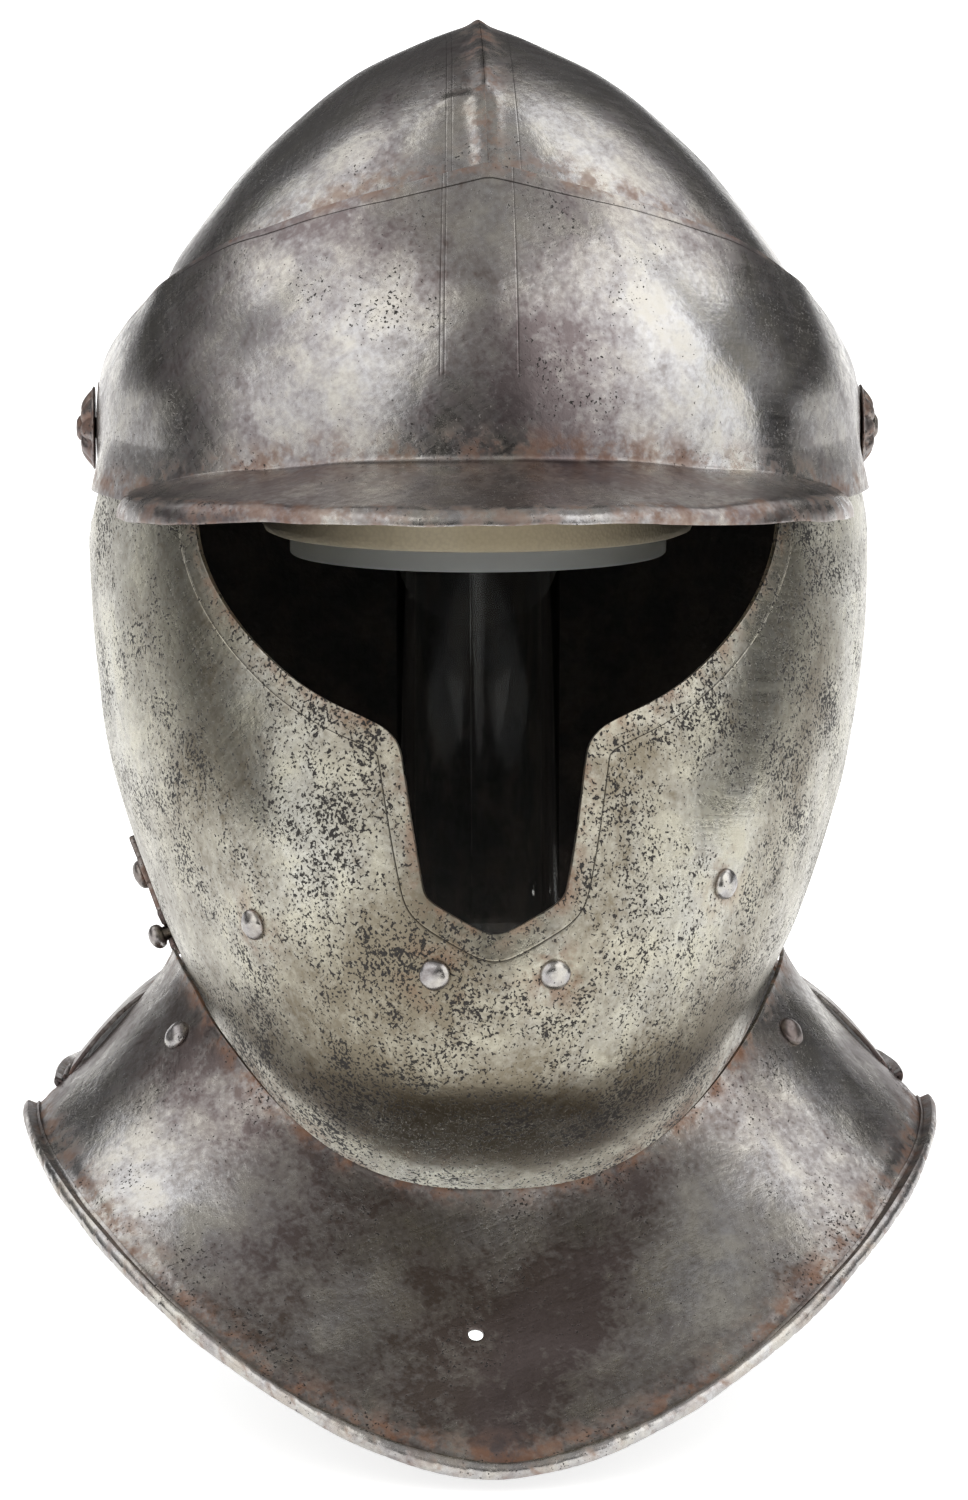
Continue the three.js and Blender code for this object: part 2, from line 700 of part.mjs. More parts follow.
for (const row of bevorRivets) {
  const turn = Math.asin(Math.abs(row.x) / level('half', row.z));
  const degrees = signOf(row.x) * THREE.MathUtils.radToDeg(turn);
  const { here, normal } = spotOn(bevorPoint, degrees, row.z, 0.1, headCore);
  const grip = through(bevor, here, normal, 8);
  bevor = bevor.subtract(pin(here, normal, rivet.hole, 8));
  node(row.name, rivetAt(here, normal, grip), steel);
}
for (const row of gorgetRivets) {
  const { here, normal } = spotOn(frontGorgetPoint, radians(row.turn), row.t, 0.001, gorgetCore);
  const grip = through(gorgetFront, here, normal, 8);
  gorgetFront = gorgetFront.subtract(pin(here, normal, rivet.hole, 8));
  node(row.name, rivetAt(here, normal, grip), steel);
}
for (const row of neckRivets) {
  const { here, normal } = spotOn(rearGorgetPoint, radians(row.turn), row.t, 0.001, gorgetCore);
  const out = normal.clone().add(new THREE.Vector3(normal.x, normal.y, 0)).normalize();
  const plateGrip = through(gorgetRear, here, out, 9);
  const skullGrip = through(row.turn < 0 ? skullRight : skullLeft, here, out, 9);
  const hole = pin(here, out, rivet.hole, 12);
  gorgetRear = gorgetRear.subtract(hole);
  skullLeft = skullLeft.subtract(hole);
  skullRight = skullRight.subtract(hole);
  node(row.name, rivetAt(here, out, { low: skullGrip.low - 1.5, high: plateGrip.high + 0.7 }), steel);
}

const gorgetHoleSpot = place(gorgetHole.x, 138, gorgetHole.z);
const gorgetHoleWay = new THREE.Vector3(0, -1, 1).normalize();
gorgetFront = gorgetFront.subtract(pin(gorgetHoleSpot, gorgetHoleWay, gorgetHole.radius, 14, 14));

const studSpot = onHook(stud.forward, -stud.drop);
const studGrip = through(bevor, studSpot, hookOut, 8);
bevor = bevor.subtract(pin(studSpot, hookOut, rivet.hole + 0.1, 8));
const hookGrip = through(skullRight, hookCentre, hookOut, 10);
skullRight = skullRight.subtract(pin(hookCentre, hookOut, rivet.hole, 12));

node('skull_right', skullRight, steel);
node('skull_left', skullLeft, steel);
node('fall', fallPlate(), steel);
node('bevor', bevor, steel);
node('gorget_front', gorgetFront, steel);
node('gorget_rear', gorgetRear, steel);
node('pivot_right', rosetteAt(-1), steel);
node('pivot_left', rosetteAt(1), steel);
node('swivel_hook', swivelHook(), steel);
node('hook_stud', turned(studRows(studGrip), studSpot, hookOut, 14), steel);
const hookRivetGrip = { low: hookGrip.low - 0.5, high: hook.thickness / 2 };
node('hook_rivet', rivetAt(hookCentre, hookOut, hookRivetGrip), steel);

// Stand: foot, tube, disc and pad, one above the other inside the helmet.
const up = new THREE.Vector3(0, 0, 1);
const ground = new THREE.Vector3();
const tubeLow = stand.footThick + 0.3;
const discLow = pivotHeight + standLevels.discBottom;
const discHigh = discLow + stand.discThick;
const padLow = pivotHeight + standLevels.padBottom;
const footRows = [[0, 0], [stand.foot, 0], [stand.foot, stand.footThick], [0, stand.footThick]];
const tubeRows = [
  [stand.bore, tubeLow],
  [stand.tube, tubeLow],
  [stand.tube, discLow - 0.3],
  [stand.bore, discLow - 0.3],
  [stand.bore, tubeLow],
];
const discRows = [[0, discLow], [stand.disc, discLow], [stand.disc, discHigh], [0, discHigh]];
const padRows = [[0, padLow], [stand.pad, padLow]];
for (let i = 0; i <= 7; i += 1) {
  const spot = crownStation(mix(0.5, 0, i / 7), 0);
  const edge = crownStation(0.5, 0);
  const share = (spot.r - edge.r) / (crownRadius - edge.r);
  const z = pivotHeight + mix(standLevels.padShoulder, standLevels.padTop, share);
  padRows.push([(spot.x / edge.x) * stand.pad, z]);
}
node('stand_foot', turned(footRows, ground, up, 40), clear);
node('stand_tube', turned(tubeRows, ground, up, 32), clear);
node('stand_disc', turned(discRows, ground, up, 40), clear);
node('stand_pad', turned(padRows, ground, up, 28), cream);

export default helmet;
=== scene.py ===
import math

import bmesh
import bpy
from mathutils import Matrix, Vector, noise


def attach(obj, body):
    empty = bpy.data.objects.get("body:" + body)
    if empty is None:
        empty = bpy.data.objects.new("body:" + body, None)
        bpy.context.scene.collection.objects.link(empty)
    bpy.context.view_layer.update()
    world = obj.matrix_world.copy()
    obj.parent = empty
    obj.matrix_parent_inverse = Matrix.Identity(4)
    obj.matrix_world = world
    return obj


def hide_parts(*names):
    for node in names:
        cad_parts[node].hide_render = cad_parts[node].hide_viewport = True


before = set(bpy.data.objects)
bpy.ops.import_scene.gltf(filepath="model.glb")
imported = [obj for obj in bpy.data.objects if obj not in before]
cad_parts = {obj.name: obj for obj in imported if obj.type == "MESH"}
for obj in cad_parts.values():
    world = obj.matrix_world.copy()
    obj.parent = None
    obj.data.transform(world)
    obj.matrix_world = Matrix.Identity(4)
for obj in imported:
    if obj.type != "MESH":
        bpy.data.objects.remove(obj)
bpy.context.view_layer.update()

mm = 0.001

# Shared shape of the helmet about the pivot line: x to the wearer's left, d forward, z up, in mm.
helm = {
    "pivotHeight": 268,
    "plate": 1.4,
    "poleHalf": 105,
    "crownRadius": 115.5,
    "flatArm": 12,
    "fairedArm": 32,
    "crown": [  # station, half width, radius
        (0, 0, 115.5), (0.12, 14.5, 110.2), (0.26, 37, 99), (0.45, 63.5, 76.4), (0.63, 84.5, 50.6),
        (0.74, 90.9, 38.5), (0.83, 97.6, 27.5), (0.91, 103.4, 16.3), (1, 105, 0),
    ],
    "levels": [  # height, half width, reach to the front, reach to the rear
        (4, 105, 115.5, 115.5), (0, 105, 115.5, 115.5), (-10, 107.6, 116, 115.3),
        (-20, 109.1, 117.5, 114.8), (-30, 109.5, 120, 113.8), (-45, 109.2, 126, 111.5),
        (-60, 108.4, 132, 108), (-79, 106.2, 138, 102.5), (-95, 103.1, 142.2, 97),
        (-108, 99.6, 144, 92), (-123, 95, 145, 86.5), (-137, 90, 144.5, 82), (-150, 84.2, 142, 79),
        (-168, 78, 134, 77), (-185, 74, 115, 77), (-208, 70, 86, 77),
    ],
}


def mix(a, b, k):
    return a + (b - a) * k


def smooth(value, low, high):
    k = min(1, max(0, (value - low) / (high - low)))
    return k * k * (3 - 2 * k)


def along(rows, column, at):  # smooth curve through a short table, read at its first column
    rising = 1 if rows[1][0] > rows[0][0] else -1
    last = len(rows) - 1
    i = 0
    while i < last - 1 and rising * at > rising * rows[i + 1][0]:
        i += 1

    def slope(j):
        a, b = max(j - 1, 0), min(j + 1, last)
        return (rows[b][column] - rows[a][column]) / (rows[b][0] - rows[a][0])

    span = rows[i + 1][0] - rows[i][0]
    u = min(1, max(0, (at - rows[i][0]) / span))
    start = (2 * u**3 - 3 * u**2 + 1) * rows[i][column] + (u**3 - 2 * u**2 + u) * slope(i) * span
    return start + (3 * u**2 - 2 * u**3) * rows[i + 1][column] + (u**3 - u**2) * slope(i + 1) * span


half, front, rearward = 0, 1, 2
levelSteps = [[along(helm["levels"], c + 1, -k / 2) for k in range(440)] for c in range(3)]


def level(column, z):
    k = min(max(-z * 2, 0), 438)
    i = int(k)
    return mix(levelSteps[column][i], levelSteps[column][i + 1], k - i)


def place(x, d, z):
    return Vector((x, -d, z + helm["pivotHeight"])) * mm


def crownPoint(s, angle):
    ahead = math.cos(angle)
    blend = ahead**2 if ahead > 0 else ahead**4
    turn = math.pi / 2 * s
    x = mix(along(helm["crown"], 1, s), helm["poleHalf"] * math.sin(turn), blend)
    r = mix(along(helm["crown"], 2, s), helm["crownRadius"] * math.cos(turn), blend)
    return place(x, r * ahead, r * math.sin(angle))


def sideX(d, z, reach):
    polar = helm["poleHalf"] * math.sqrt(max(0, 1 - (d * d + z * z) / helm["crownRadius"] ** 2))
    section = level(half, z) * math.sqrt(max(0, 1 - (d / reach) ** 2))
    return mix(polar, section, smooth(math.hypot(d, z), helm["flatArm"], helm["fairedArm"]))


def hammered(at, rows, more=0):  # unevenness of a hand-worked plate: size and depth in mm, and a seed
    total = 0
    for size, depth, seed in rows:
        shift = seed + more
        total += depth * noise.noise(at * (1000 / size) + Vector((shift, shift * 1.7, -shift)))
    return total


def mappedGrid(bm, columns, rows, at, edgeLayer):  # at gives the place, the share of rust and a cut in mm
    cutLayer = bm.verts.layers.float.get("cut") or bm.verts.layers.float.new("cut")
    made = bmesh.ops.create_grid(bm, x_segments=len(columns) - 1, y_segments=len(rows) - 1, size=1)["verts"]
    for vert in made:
        i = round((vert.co.x + 1) / 2 * (len(columns) - 1))
        j = round((vert.co.y + 1) / 2 * (len(rows) - 1))
        vert.co, vert[edgeLayer], *cut = at(columns[i], rows[j])
        vert[cutLayer] = cut[0] if cut else 0


def spread(low, high, count):
    return [mix(low, high, i / (count - 1)) for i in range(count)]


def withGrooves(stations, grooves, width):  # five stations for each engraved line, the middle one is cut
    kept = [s for s in stations if all(abs(s - g) > width * 2.8 for g in grooves)]
    return sorted(kept + [g + k * width for g in grooves for k in (-2, -1, 0, 1, 2)])


def finishSheet(bm, core, offset):  # merge, turn outwards, then lift off the base surface
    bmesh.ops.remove_doubles(bm, verts=bm.verts, dist=2e-6)
    bmesh.ops.dissolve_degenerate(bm, edges=bm.edges, dist=1e-7)
    bmesh.ops.recalc_face_normals(bm, faces=bm.faces)
    bm.normal_update()
    outward = sum(face.normal.dot(face.calc_center_median() - core) for face in bm.faces)
    if outward < 0:
        bmesh.ops.reverse_faces(bm, faces=bm.faces)
        bm.normal_update()
    cutLayer = bm.verts.layers.float["cut"]
    normals = [vert.normal.copy() for vert in bm.verts]
    for vert, normal in zip(bm.verts, normals):
        vert.co += normal * (offset(vert.co) - vert[cutLayer]) * mm
    bm.normal_update()


def stainAndLightPatches(bm, patches):  # soft dark (+) or bright (-) areas: stains, and in places painted shade and painted highlights: x, d, z, radius, amount
    layer = bm.verts.layers.float.new("stainAndPaintedLight")
    spots = [(place(x, d, z), radius * mm, amount) for x, d, z, radius, amount in patches]
    for vert in bm.verts:
        total = 0
        for spot, radius, amount in spots:
            away = (vert.co - spot).length_squared / radius**2
            if away < 6:
                total += amount * math.exp(-away)
        vert[layer] = total


def asObject(bm, name, materials, body, nodes):
    mesh = bpy.data.meshes.new(name)
    bm.to_mesh(mesh)
    bm.free()
    for polygon in mesh.polygons:
        polygon.use_smooth = True
    for material in materials:
        mesh.materials.append(material)
    piece = bpy.data.objects.new(name, mesh)
    bpy.context.scene.collection.objects.link(piece)
    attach(piece, body)
    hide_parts(*nodes)
    return piece


def plateWall(piece, thickness, rounding):
    wall = piece.modifiers.new("wall", "SOLIDIFY")
    wall.thickness = thickness * mm
    wall.offset = -1
    wall.material_offset = 1
    wall.material_offset_rim = 0
    worn = piece.modifiers.new("worn_edge", "BEVEL")
    worn.width = rounding * mm
    worn.segments = 2
    worn.limit_method = "ANGLE"
    worn.angle_limit = math.radians(50)


print("shape functions ready")

# Finishes


def addNode(tree, kind, inputs=None, **settings):
    node = tree.nodes.new("ShaderNode" + kind)
    for key, value in settings.items():
        setattr(node, key, value)
    for key, value in (inputs or {}).items():
        if isinstance(value, bpy.types.NodeSocket):
            tree.links.new(value, node.inputs[key])
        else:
            node.inputs[key].default_value = value
    return node


def calc(tree, operation, a, b=0.0, clamp=False):
    return addNode(tree, "Math", {0: a, 1: b}, operation=operation, use_clamp=clamp).outputs[0]


def window(tree, value, low, high, first=0.0, last=1.0):
    inputs = {"Value": value, "From Min": low, "From Max": high, "To Min": first, "To Max": last}
    return addNode(tree, "MapRange", inputs, interpolation_type="SMOOTHSTEP").outputs[0]


def blendColour(tree, factor, first, second):
    node = addNode(tree, "Mix", data_type="RGBA")
    for index, value in ((0, factor), (6, first), (7, second)):
        if isinstance(value, bpy.types.NodeSocket):
            tree.links.new(value, node.inputs[index])
        else:
            node.inputs[index].default_value = value
    return node.outputs[2]


def cloud(tree, at, scale, detail, roughness, distortion=0.0):
    inputs = {"Vector": at, "Scale": scale, "Detail": detail, "Roughness": roughness, "Distortion": distortion}
    return addNode(tree, "TexNoise", inputs).outputs["Fac"]


def stretched(tree, at, scale, turn=(0, 0, 0)):
    return addNode(tree, "Mapping", {"Vector": at, "Scale": scale, "Rotation": turn}).outputs[0]


def newFinish(name):
    material = bpy.data.materials.new(name)
    material.use_nodes = True
    tree = material.node_tree
    tree.nodes.clear()
    out = addNode(tree, "OutputMaterial")
    shader = addNode(tree, "BsdfPrincipled")
    tree.links.new(shader.outputs[0], out.inputs[0])
    at = addNode(tree, "TexCoord").outputs["Object"]
    return material, tree, shader, at


def wornSteel(name, look):
    material, tree, shader, at = newFinish(name)
    turned = {"Vector": at, "Location": look["shift"], "Rotation": (0.61, 0.43, 0.87)}
    shifted = addNode(tree, "Mapping", turned).outputs[0]
    broad = cloud(tree, shifted, look["broad"], 4, 0.55, 0.5)
    mottle = cloud(tree, shifted, look["mottle"], 7, 0.66, 0.3)
    speck = cloud(tree, shifted, 520, 4, 0.6)
    edge = addNode(tree, "Attribute", attribute_name="edge").outputs["Fac"]
    stainAndPaintedLight = addNode(tree, "Attribute", attribute_name="stainAndPaintedLight").outputs["Fac"]
    # brown patina over the brighter metal, raised or lowered by the per-vertex patches, which hold stains and also
    # painted shade and painted highlights
    uneven = calc(tree, "ADD", calc(tree, "MULTIPLY", calc(tree, "SUBTRACT", broad, 0.5), look["broadShare"]),
                  calc(tree, "MULTIPLY", calc(tree, "SUBTRACT", mottle, 0.5), look["mottleShare"]))
    grainy = calc(tree, "MULTIPLY", calc(tree, "SUBTRACT", speck, 0.5), look["speckShare"])
    patina = calc(tree, "ADD", calc(tree, "ADD", uneven, grainy), calc(tree, "ADD", stainAndPaintedLight, look["patina"]), True)
    steelTone = blendColour(tree, window(tree, mottle, 0.35, 0.65), look["steelWarm"], look["steelCool"])
    brownTone = blendColour(tree, window(tree, broad, 0.4, 0.62), look["brown"], look["violet"])
    tone = blendColour(tree, patina, steelTone, brownTone)
    # rust along edges and seams
    rusty = cloud(tree, shifted, 140, 5, 0.7)
    rustArea = calc(tree, "MULTIPLY", edge, window(tree, rusty, 0.42, 0.62), True)
    rustFlecks = window(tree, cloud(tree, shifted, 75, 6, 0.75), look["fleckFrom"], look["fleckFrom"] + 0.08)
    rust = calc(tree, "MAXIMUM", calc(tree, "MULTIPLY", rustArea, look["rust"]),
                calc(tree, "MULTIPLY", rustFlecks, look["rust"] * 0.6), True)
    tone = blendColour(tree, rust, tone, look["rustTone"])
    # pits: fine black specks in clusters, and fewer larger ones
    cluster = calc(tree, "MULTIPLY", calc(tree, "SUBTRACT", cloud(tree, shifted, 42, 5, 0.65), 0.5), 0.6)
    cluster = calc(tree, "ADD", cluster, calc(tree, "MULTIPLY", stainAndPaintedLight, 0.06))
    fineField = calc(tree, "ADD", cloud(tree, shifted, 1150, 2, 0.5), cluster)
    fine = window(tree, fineField, look["pitFrom"], look["pitFrom"] + 0.06)
    largeField = calc(tree, "ADD", cloud(tree, shifted, 560, 3, 0.62), calc(tree, "MULTIPLY", cluster, 0.9))
    large = window(tree, largeField, look["pitFrom"] + 0.035, look["pitFrom"] + 0.09)
    pits = calc(tree, "MAXIMUM", fine, large, True)
    tone = blendColour(tree, pits, tone, look["pitTone"])
    engraved = window(tree, addNode(tree, "Attribute", attribute_name="cut").outputs["Fac"], 0.0, 0.1)
    tone = blendColour(tree, calc(tree, "MULTIPLY", engraved, 0.85), tone, look["pitTone"])
    # fine scratches in two directions
    scratchA = cloud(tree, stretched(tree, shifted, (40, 40, 900), (0.3, 0.5, 0.2)), 1, 3, 0.6)
    scratchB = cloud(tree, stretched(tree, shifted, (700, 60, 60), (0.1, 0.9, 0.6)), 1, 3, 0.6)
    scratch = calc(tree, "ADD", scratchA, scratchB)
    rough = calc(tree, "ADD", window(tree, patina, 0, 1, look["roughBright"], look["roughDark"]),
                 calc(tree, "MULTIPLY", calc(tree, "SUBTRACT", scratch, 1.0), 0.16))
    rough = calc(tree, "ADD", rough, calc(tree, "MULTIPLY", calc(tree, "MAXIMUM", pits, rust), 0.3), True)
    metal = calc(tree, "SUBTRACT", 1.0, calc(tree, "MULTIPLY", calc(tree, "MAXIMUM", pits, rust), 0.85), True)
    height = calc(tree, "SUBTRACT", calc(tree, "MULTIPLY", mottle, 0.5), calc(tree, "MULTIPLY", pits, 0.55))
    height = calc(tree, "ADD", height, calc(tree, "MULTIPLY", scratch, 0.06))
    height = calc(tree, "ADD", height, calc(tree, "MULTIPLY", speck, 0.16))
    bump = addNode(tree, "Bump", {"Height": height, "Strength": look["bump"], "Distance": 0.0007})
    sockets = {"Base Color": tone, "Roughness": rough, "Metallic": metal, "Normal": bump.outputs[0]}
    for socket, value in sockets.items():
        tree.links.new(value, shader.inputs[socket])
    return material


plainLook = {
    "shift": (0, 0, 0), "broad": 15, "mottle": 78, "broadShare": 2.3, "mottleShare": 1.9, "speckShare": 1.1,
    "patina": 0.5, "rust": 0.75, "fleckFrom": 0.7, "pitFrom": 0.66, "bump": 0.55,
    "roughBright": 0.2, "roughDark": 0.34,
    "steelWarm": (0.46, 0.44, 0.40, 1), "steelCool": (0.50, 0.50, 0.51, 1),
    "brown": (0.15, 0.122, 0.105, 1), "violet": (0.17, 0.142, 0.142, 1),
    "rustTone": (0.20, 0.085, 0.035, 1), "pitTone": (0.014, 0.011, 0.009, 1),
}
skullSteel = wornSteel("skull_steel", plainLook | {"shift": (0.3, 0.1, 0), "patina": 0.5, "pitFrom": 0.7})
fallSteel = wornSteel("fall_steel", plainLook | {"shift": (0.1, 0.4, 0.2), "patina": 0.52, "pitFrom": 0.7})
bevorSteel = wornSteel("bevor_steel", plainLook | {
    "shift": (0.7, 0.2, 0.5), "patina": 0.48, "pitFrom": 0.592, "bump": 0.7, "roughBright": 0.26,
    "steelWarm": (0.46, 0.44, 0.36, 1), "steelCool": (0.49, 0.485, 0.445, 1),
    "brown": (0.165, 0.138, 0.095, 1), "violet": (0.20, 0.175, 0.13, 1),
})
gorgetSteel = wornSteel("gorget_steel", plainLook | {
    "shift": (0.2, 0.9, 0.4), "patina": 0.76, "pitFrom": 0.675, "bump": 0.75,
    "brown": (0.13, 0.105, 0.09, 1), "violet": (0.145, 0.118, 0.115, 1),
})
fittingSteel = wornSteel("fitting_steel", plainLook | {
    "shift": (0.5, 0.6, 0.1), "patina": 0.3, "mottle": 160, "pitFrom": 0.7, "roughBright": 0.22, "bump": 0.35,
})
darkFittingSteel = wornSteel("dark_fitting_steel", plainLook | {
    "shift": (0.4, 0.2, 0.8), "patina": 0.85, "mottle": 160, "pitFrom": 0.64, "bump": 0.5,
})


# Near-black mottled finish for the inner faces of every plate.
def darkInside(name):
    material, tree, shader, at = newFinish(name)
    insideMottle = cloud(tree, at, 55, 6, 0.65)
    scale = cloud(tree, at, 320, 4, 0.6)
    tone = blendColour(tree, window(tree, insideMottle, 0.38, 0.66), (0.012, 0.010, 0.009, 1), (0.035, 0.026, 0.02, 1))
    tree.links.new(tone, shader.inputs["Base Color"])
    tree.links.new(window(tree, scale, 0.3, 0.7, 0.55, 0.85), shader.inputs["Roughness"])
    bump = addNode(tree, "Bump", {"Height": scale, "Strength": 0.5, "Distance": 0.0006})
    tree.links.new(bump.outputs[0], shader.inputs["Normal"])
    shader.inputs["Metallic"].default_value = 0.35
    return material


def clearPlastic(name, cloudy):
    material, tree, shader, at = newFinish(name)
    haze = cloud(tree, at, 90, 5, 0.6)
    hairs = cloud(tree, stretched(tree, at, (60, 60, 1200), (0.2, 0.1, 0)), 1, 2, 0.5)
    rough = window(tree, haze, 0.4, 0.7, 0.015 + cloudy, 0.05 + cloudy)
    rough = calc(tree, "ADD", rough, calc(tree, "MULTIPLY", hairs, 0.015))
    tree.links.new(rough, shader.inputs["Roughness"])
    bump = addNode(tree, "Bump", {"Height": hairs, "Strength": 0.06, "Distance": 0.0002})
    tree.links.new(bump.outputs[0], shader.inputs["Normal"])
    shader.inputs["Base Color"].default_value = (0.95, 0.97, 0.965, 1)
    shader.inputs["Transmission Weight"].default_value = 1 - cloudy
    shader.inputs["IOR"].default_value = 1.18
    return material


def creamFoam(name):
    material, tree, shader, at = newFinish(name)
    cells = addNode(tree, "TexVoronoi", {"Vector": at, "Scale": 900}).outputs["Distance"]
    soil = cloud(tree, at, 28, 5, 0.6)
    tone = blendColour(tree, window(tree, soil, 0.35, 0.7), (0.66, 0.57, 0.40, 1), (0.56, 0.47, 0.31, 1))
    tone = blendColour(tree, calc(tree, "MULTIPLY", window(tree, cells, 0.3, 0.8), 0.25), tone, (0.40, 0.32, 0.2, 1))
    tree.links.new(tone, shader.inputs["Base Color"])
    tree.links.new(window(tree, cells, 0, 0.8, 0.95, 0.75), shader.inputs["Roughness"])
    bump = addNode(tree, "Bump", {"Height": cells, "Strength": 0.4, "Distance": 0.0004})
    tree.links.new(bump.outputs[0], shader.inputs["Normal"])
    shader.inputs["Sheen Weight"].default_value = 0.2
    return material


insideFinish = darkInside("dark_inside")
acrylicFinish = clearPlastic("clear_acrylic_finish", 0)
sawnFinish = clearPlastic("sawn_acrylic_finish", 0.3)
foamFinish = creamFoam("cream_foam_finish")
print("finishes ready")

headCore = place(0, 0, -60)
neckCore = place(0, 0, -340)

# Skull, two halves joined along the comb
skull = {
    "columns": 88, "crownRows": 100, "sideRows": 66, "seam": 0.02, "cheekEdge": 18, "browHeight": 11, "low": -158,
    "lines": {1: [0.066], -1: [0.07, 0.082]}, "lineWidth": 0.0013, "lineDepth": 0.07, "filePitch": 3.3,
    "hammer": [(46, 0.6, 3), (22, 0.32, 9), (11, 0.1, 14)], "drop": 0.5, "highest": 0.3,
    # the first two, bright patches on the front of the crown either side of the comb, are painted highlights
    "patches": [
        (-40, 70, 75, 34, -0.22), (45, 68, 72, 36, -0.18), (-12, 60, 100, 22, 0.1),
        (70, -60, 55, 45, 0.2), (-70, -60, 55, 45, 0.16), (0, -105, 20, 50, 0.12), (60, -70, -70, 50, -0.15),
    ],
}


def browLimit(s):  # the plate ends under the fall
    radius = max(helm["crownRadius"] * math.cos(math.pi / 2 * s), 0.01)
    return math.asin(min(0.95, skull["browHeight"] / max(radius, 12))) * smooth(radius, 20, 32)


def skullHalf(side, name, node):
    bm = bmesh.new()
    edgeLayer = bm.verts.layers.float.new("edge")
    lines = skull["lines"][side]
    first = skull["seam"] / 120
    stations = [first + (1 - first) * k**1.12 for k in spread(0, 1, skull["columns"])]
    stations = withGrooves(stations, lines, skull["lineWidth"])
    crownRows = spread(0, 0.2, 17) + spread(0.204, 0.318, 52) + spread(0.324, 1, skull["crownRows"])
    crownRows = [("crown", k) for k in crownRows]
    sideRows = [("side", z) for z in spread(0, skull["low"], skull["sideRows"])[1:]]

    def at(s, row):
        kind, k = row
        rust = math.exp(-((s * 120 / 5) ** 2)) * 0.9
        if kind == "crown":
            angle = mix(browLimit(s), math.pi, k)
            spot = crownPoint(s, angle)
            rust = max(rust, 0.7 * math.exp(-((angle - 0.75) / 0.07) ** 2) * (s < 0.9))
        else:
            reach = level(rearward, k)
            d = -reach * math.cos(math.pi / 2 * s)
            spot = place(sideX(d, k, reach), d, k)
            rust = max(rust, 0.8 * smooth(-k, 135, 158))
        engraved = any(abs(s - line) < 1e-6 for line in lines) and not (kind == "side" and k < -60)
        spot.x *= side
        return spot, rust, skull["lineDepth"] * engraved

    mappedGrid(bm, stations, crownRows + sideRows, at, edgeLayer)
    ahead = [s for s in stations if helm["crownRadius"] * math.cos(math.pi / 2 * s) <= skull["cheekEdge"]]

    def cheek(s, z):
        d = helm["crownRadius"] * math.cos(math.pi / 2 * s)
        spot = place(sideX(d, z, level(front, z)), d, z)
        spot.x *= side
        return spot, 0.5

    mappedGrid(bm, ahead, spread(0, skull["low"], skull["sideRows"]), cheek, edgeLayer)

    def lift(co):
        away = abs(co.x) / mm
        ridge = 0.9 * math.exp(-((away / 2.6) ** 2)) * (co.z > 0.3)
        angle = math.degrees(math.atan2(co.z / mm - helm["pivotHeight"], -co.y / mm))
        bent = smooth(angle, 61, 55) * smooth(angle, 30, 40)
        if side > 0:
            ridge -= bent * 1.3 * math.exp(-((away / 1.9) ** 4))
        else:
            stroke = (angle * 2 + away * 0.75) / skull["filePitch"] % 1
            filed = max(0, 1 - abs(stroke - 0.5) / 0.22)
            ridge += bent * (0.7 * math.exp(-((away / 4.6) ** 4)) - 0.55 * filed * math.exp(-((away / 4) ** 4)))
            ridge += 0.6 * math.exp(-(((away - 8) / 4) ** 4)) * smooth(angle, 56.4, 57.2) * smooth(angle, 59.6, 57.4)
        calm = smooth(abs(co.x) / mm, 92, 60) if co.z / mm > 250 else 1
        uneven = hammered(co, skull["hammer"])
        return min(ridge + uneven * calm * 0.8 - skull["drop"], skull["highest"])

    finishSheet(bm, headCore, lift)
    stainAndLightPatches(bm, skull["patches"])
    piece = asObject(bm, name, [skullSteel, insideFinish], "skull", [node])
    plateWall(piece, helm["plate"], 0.3)
    return piece


skullHalf(1, "skull_plate_left", "skull_left")
skullHalf(-1, "skull_plate_right", "skull_right")
print("skull halves made")

# Fall: the brow plate with its peak
fall = {
    "topEdge": [
        (0, 42.3), (0.1, 41.2), (0.2, 40.5), (0.3, 40.8), (0.4, 42), (0.53, 46.5), (0.65, 53), (0.76, 62),
        (0.86, 85), (0.93, 150),
    ],
    "dropAtSide": 16, "sideStation": 0.67, "lastStation": 0.93,
    "peakHalf": 97, "peakRoot": 60, "peakReach": 98, "peakSide": -19, "peakRise": 8.5,
    "hammer": [(40, 0.7, 5), (21, 0.4, 11), (11, 0.12, 17)], "lowest": -0.35,
    "inner": 0.75, "standOff": 1.95, "bend": 3.2, "lip": 1.5, "columns": 250, "browRows": 74, "peakRows": 24,
    "lines": [-0.083, -0.076, 0.044], "lineWidth": 0.0013, "lineDepth": 0.08, "borderDepth": 0.12,
    # the five bright patches on the left and right of the brow are painted highlights, and the dark ones at x -4 and
    # -22 paint a dark reflection band near the centre
    "patches": [
        (-52, 92, 42, 26, -0.3), (-30, 105, 20, 18, -0.28), (-50, 96, 12, 17, -0.25), (44, 95, 38, 24, -0.28),
        (52, 92, 14, 22, -0.25), (-4, 100, 40, 14, 0.15), (-22, 96, 66, 15, 0.2), (12, 108, 22, 14, 0.1),
        (0, 145, -10, 60, 0.1), (-60, 120, -12, 30, 0.1), (60, 120, -12, 30, 0.2),
    ],
}


def fallRadius(s):
    return helm["crownRadius"] * math.cos(math.pi / 2 * min(abs(s), 0.9999))


def fallLow(s):
    drop = fall["dropAtSide"] * min(1, abs(s) / fall["sideStation"]) ** 2
    return -math.asin(min(1, drop / max(fallRadius(s), drop + 0.01)))


def fallHigh(s):
    return math.radians(along(fall["topEdge"], 1, abs(s)))


def browPoint(s, angle):
    side = -1 if s < 0 else 1
    if angle >= 0:
        spot = crownPoint(abs(s), angle)
    else:
        d, z = fallRadius(s) * math.cos(angle), fallRadius(s) * math.sin(angle)
        spot = place(sideX(d, z, level(front, z)), d, z)
    spot.x *= side
    return spot


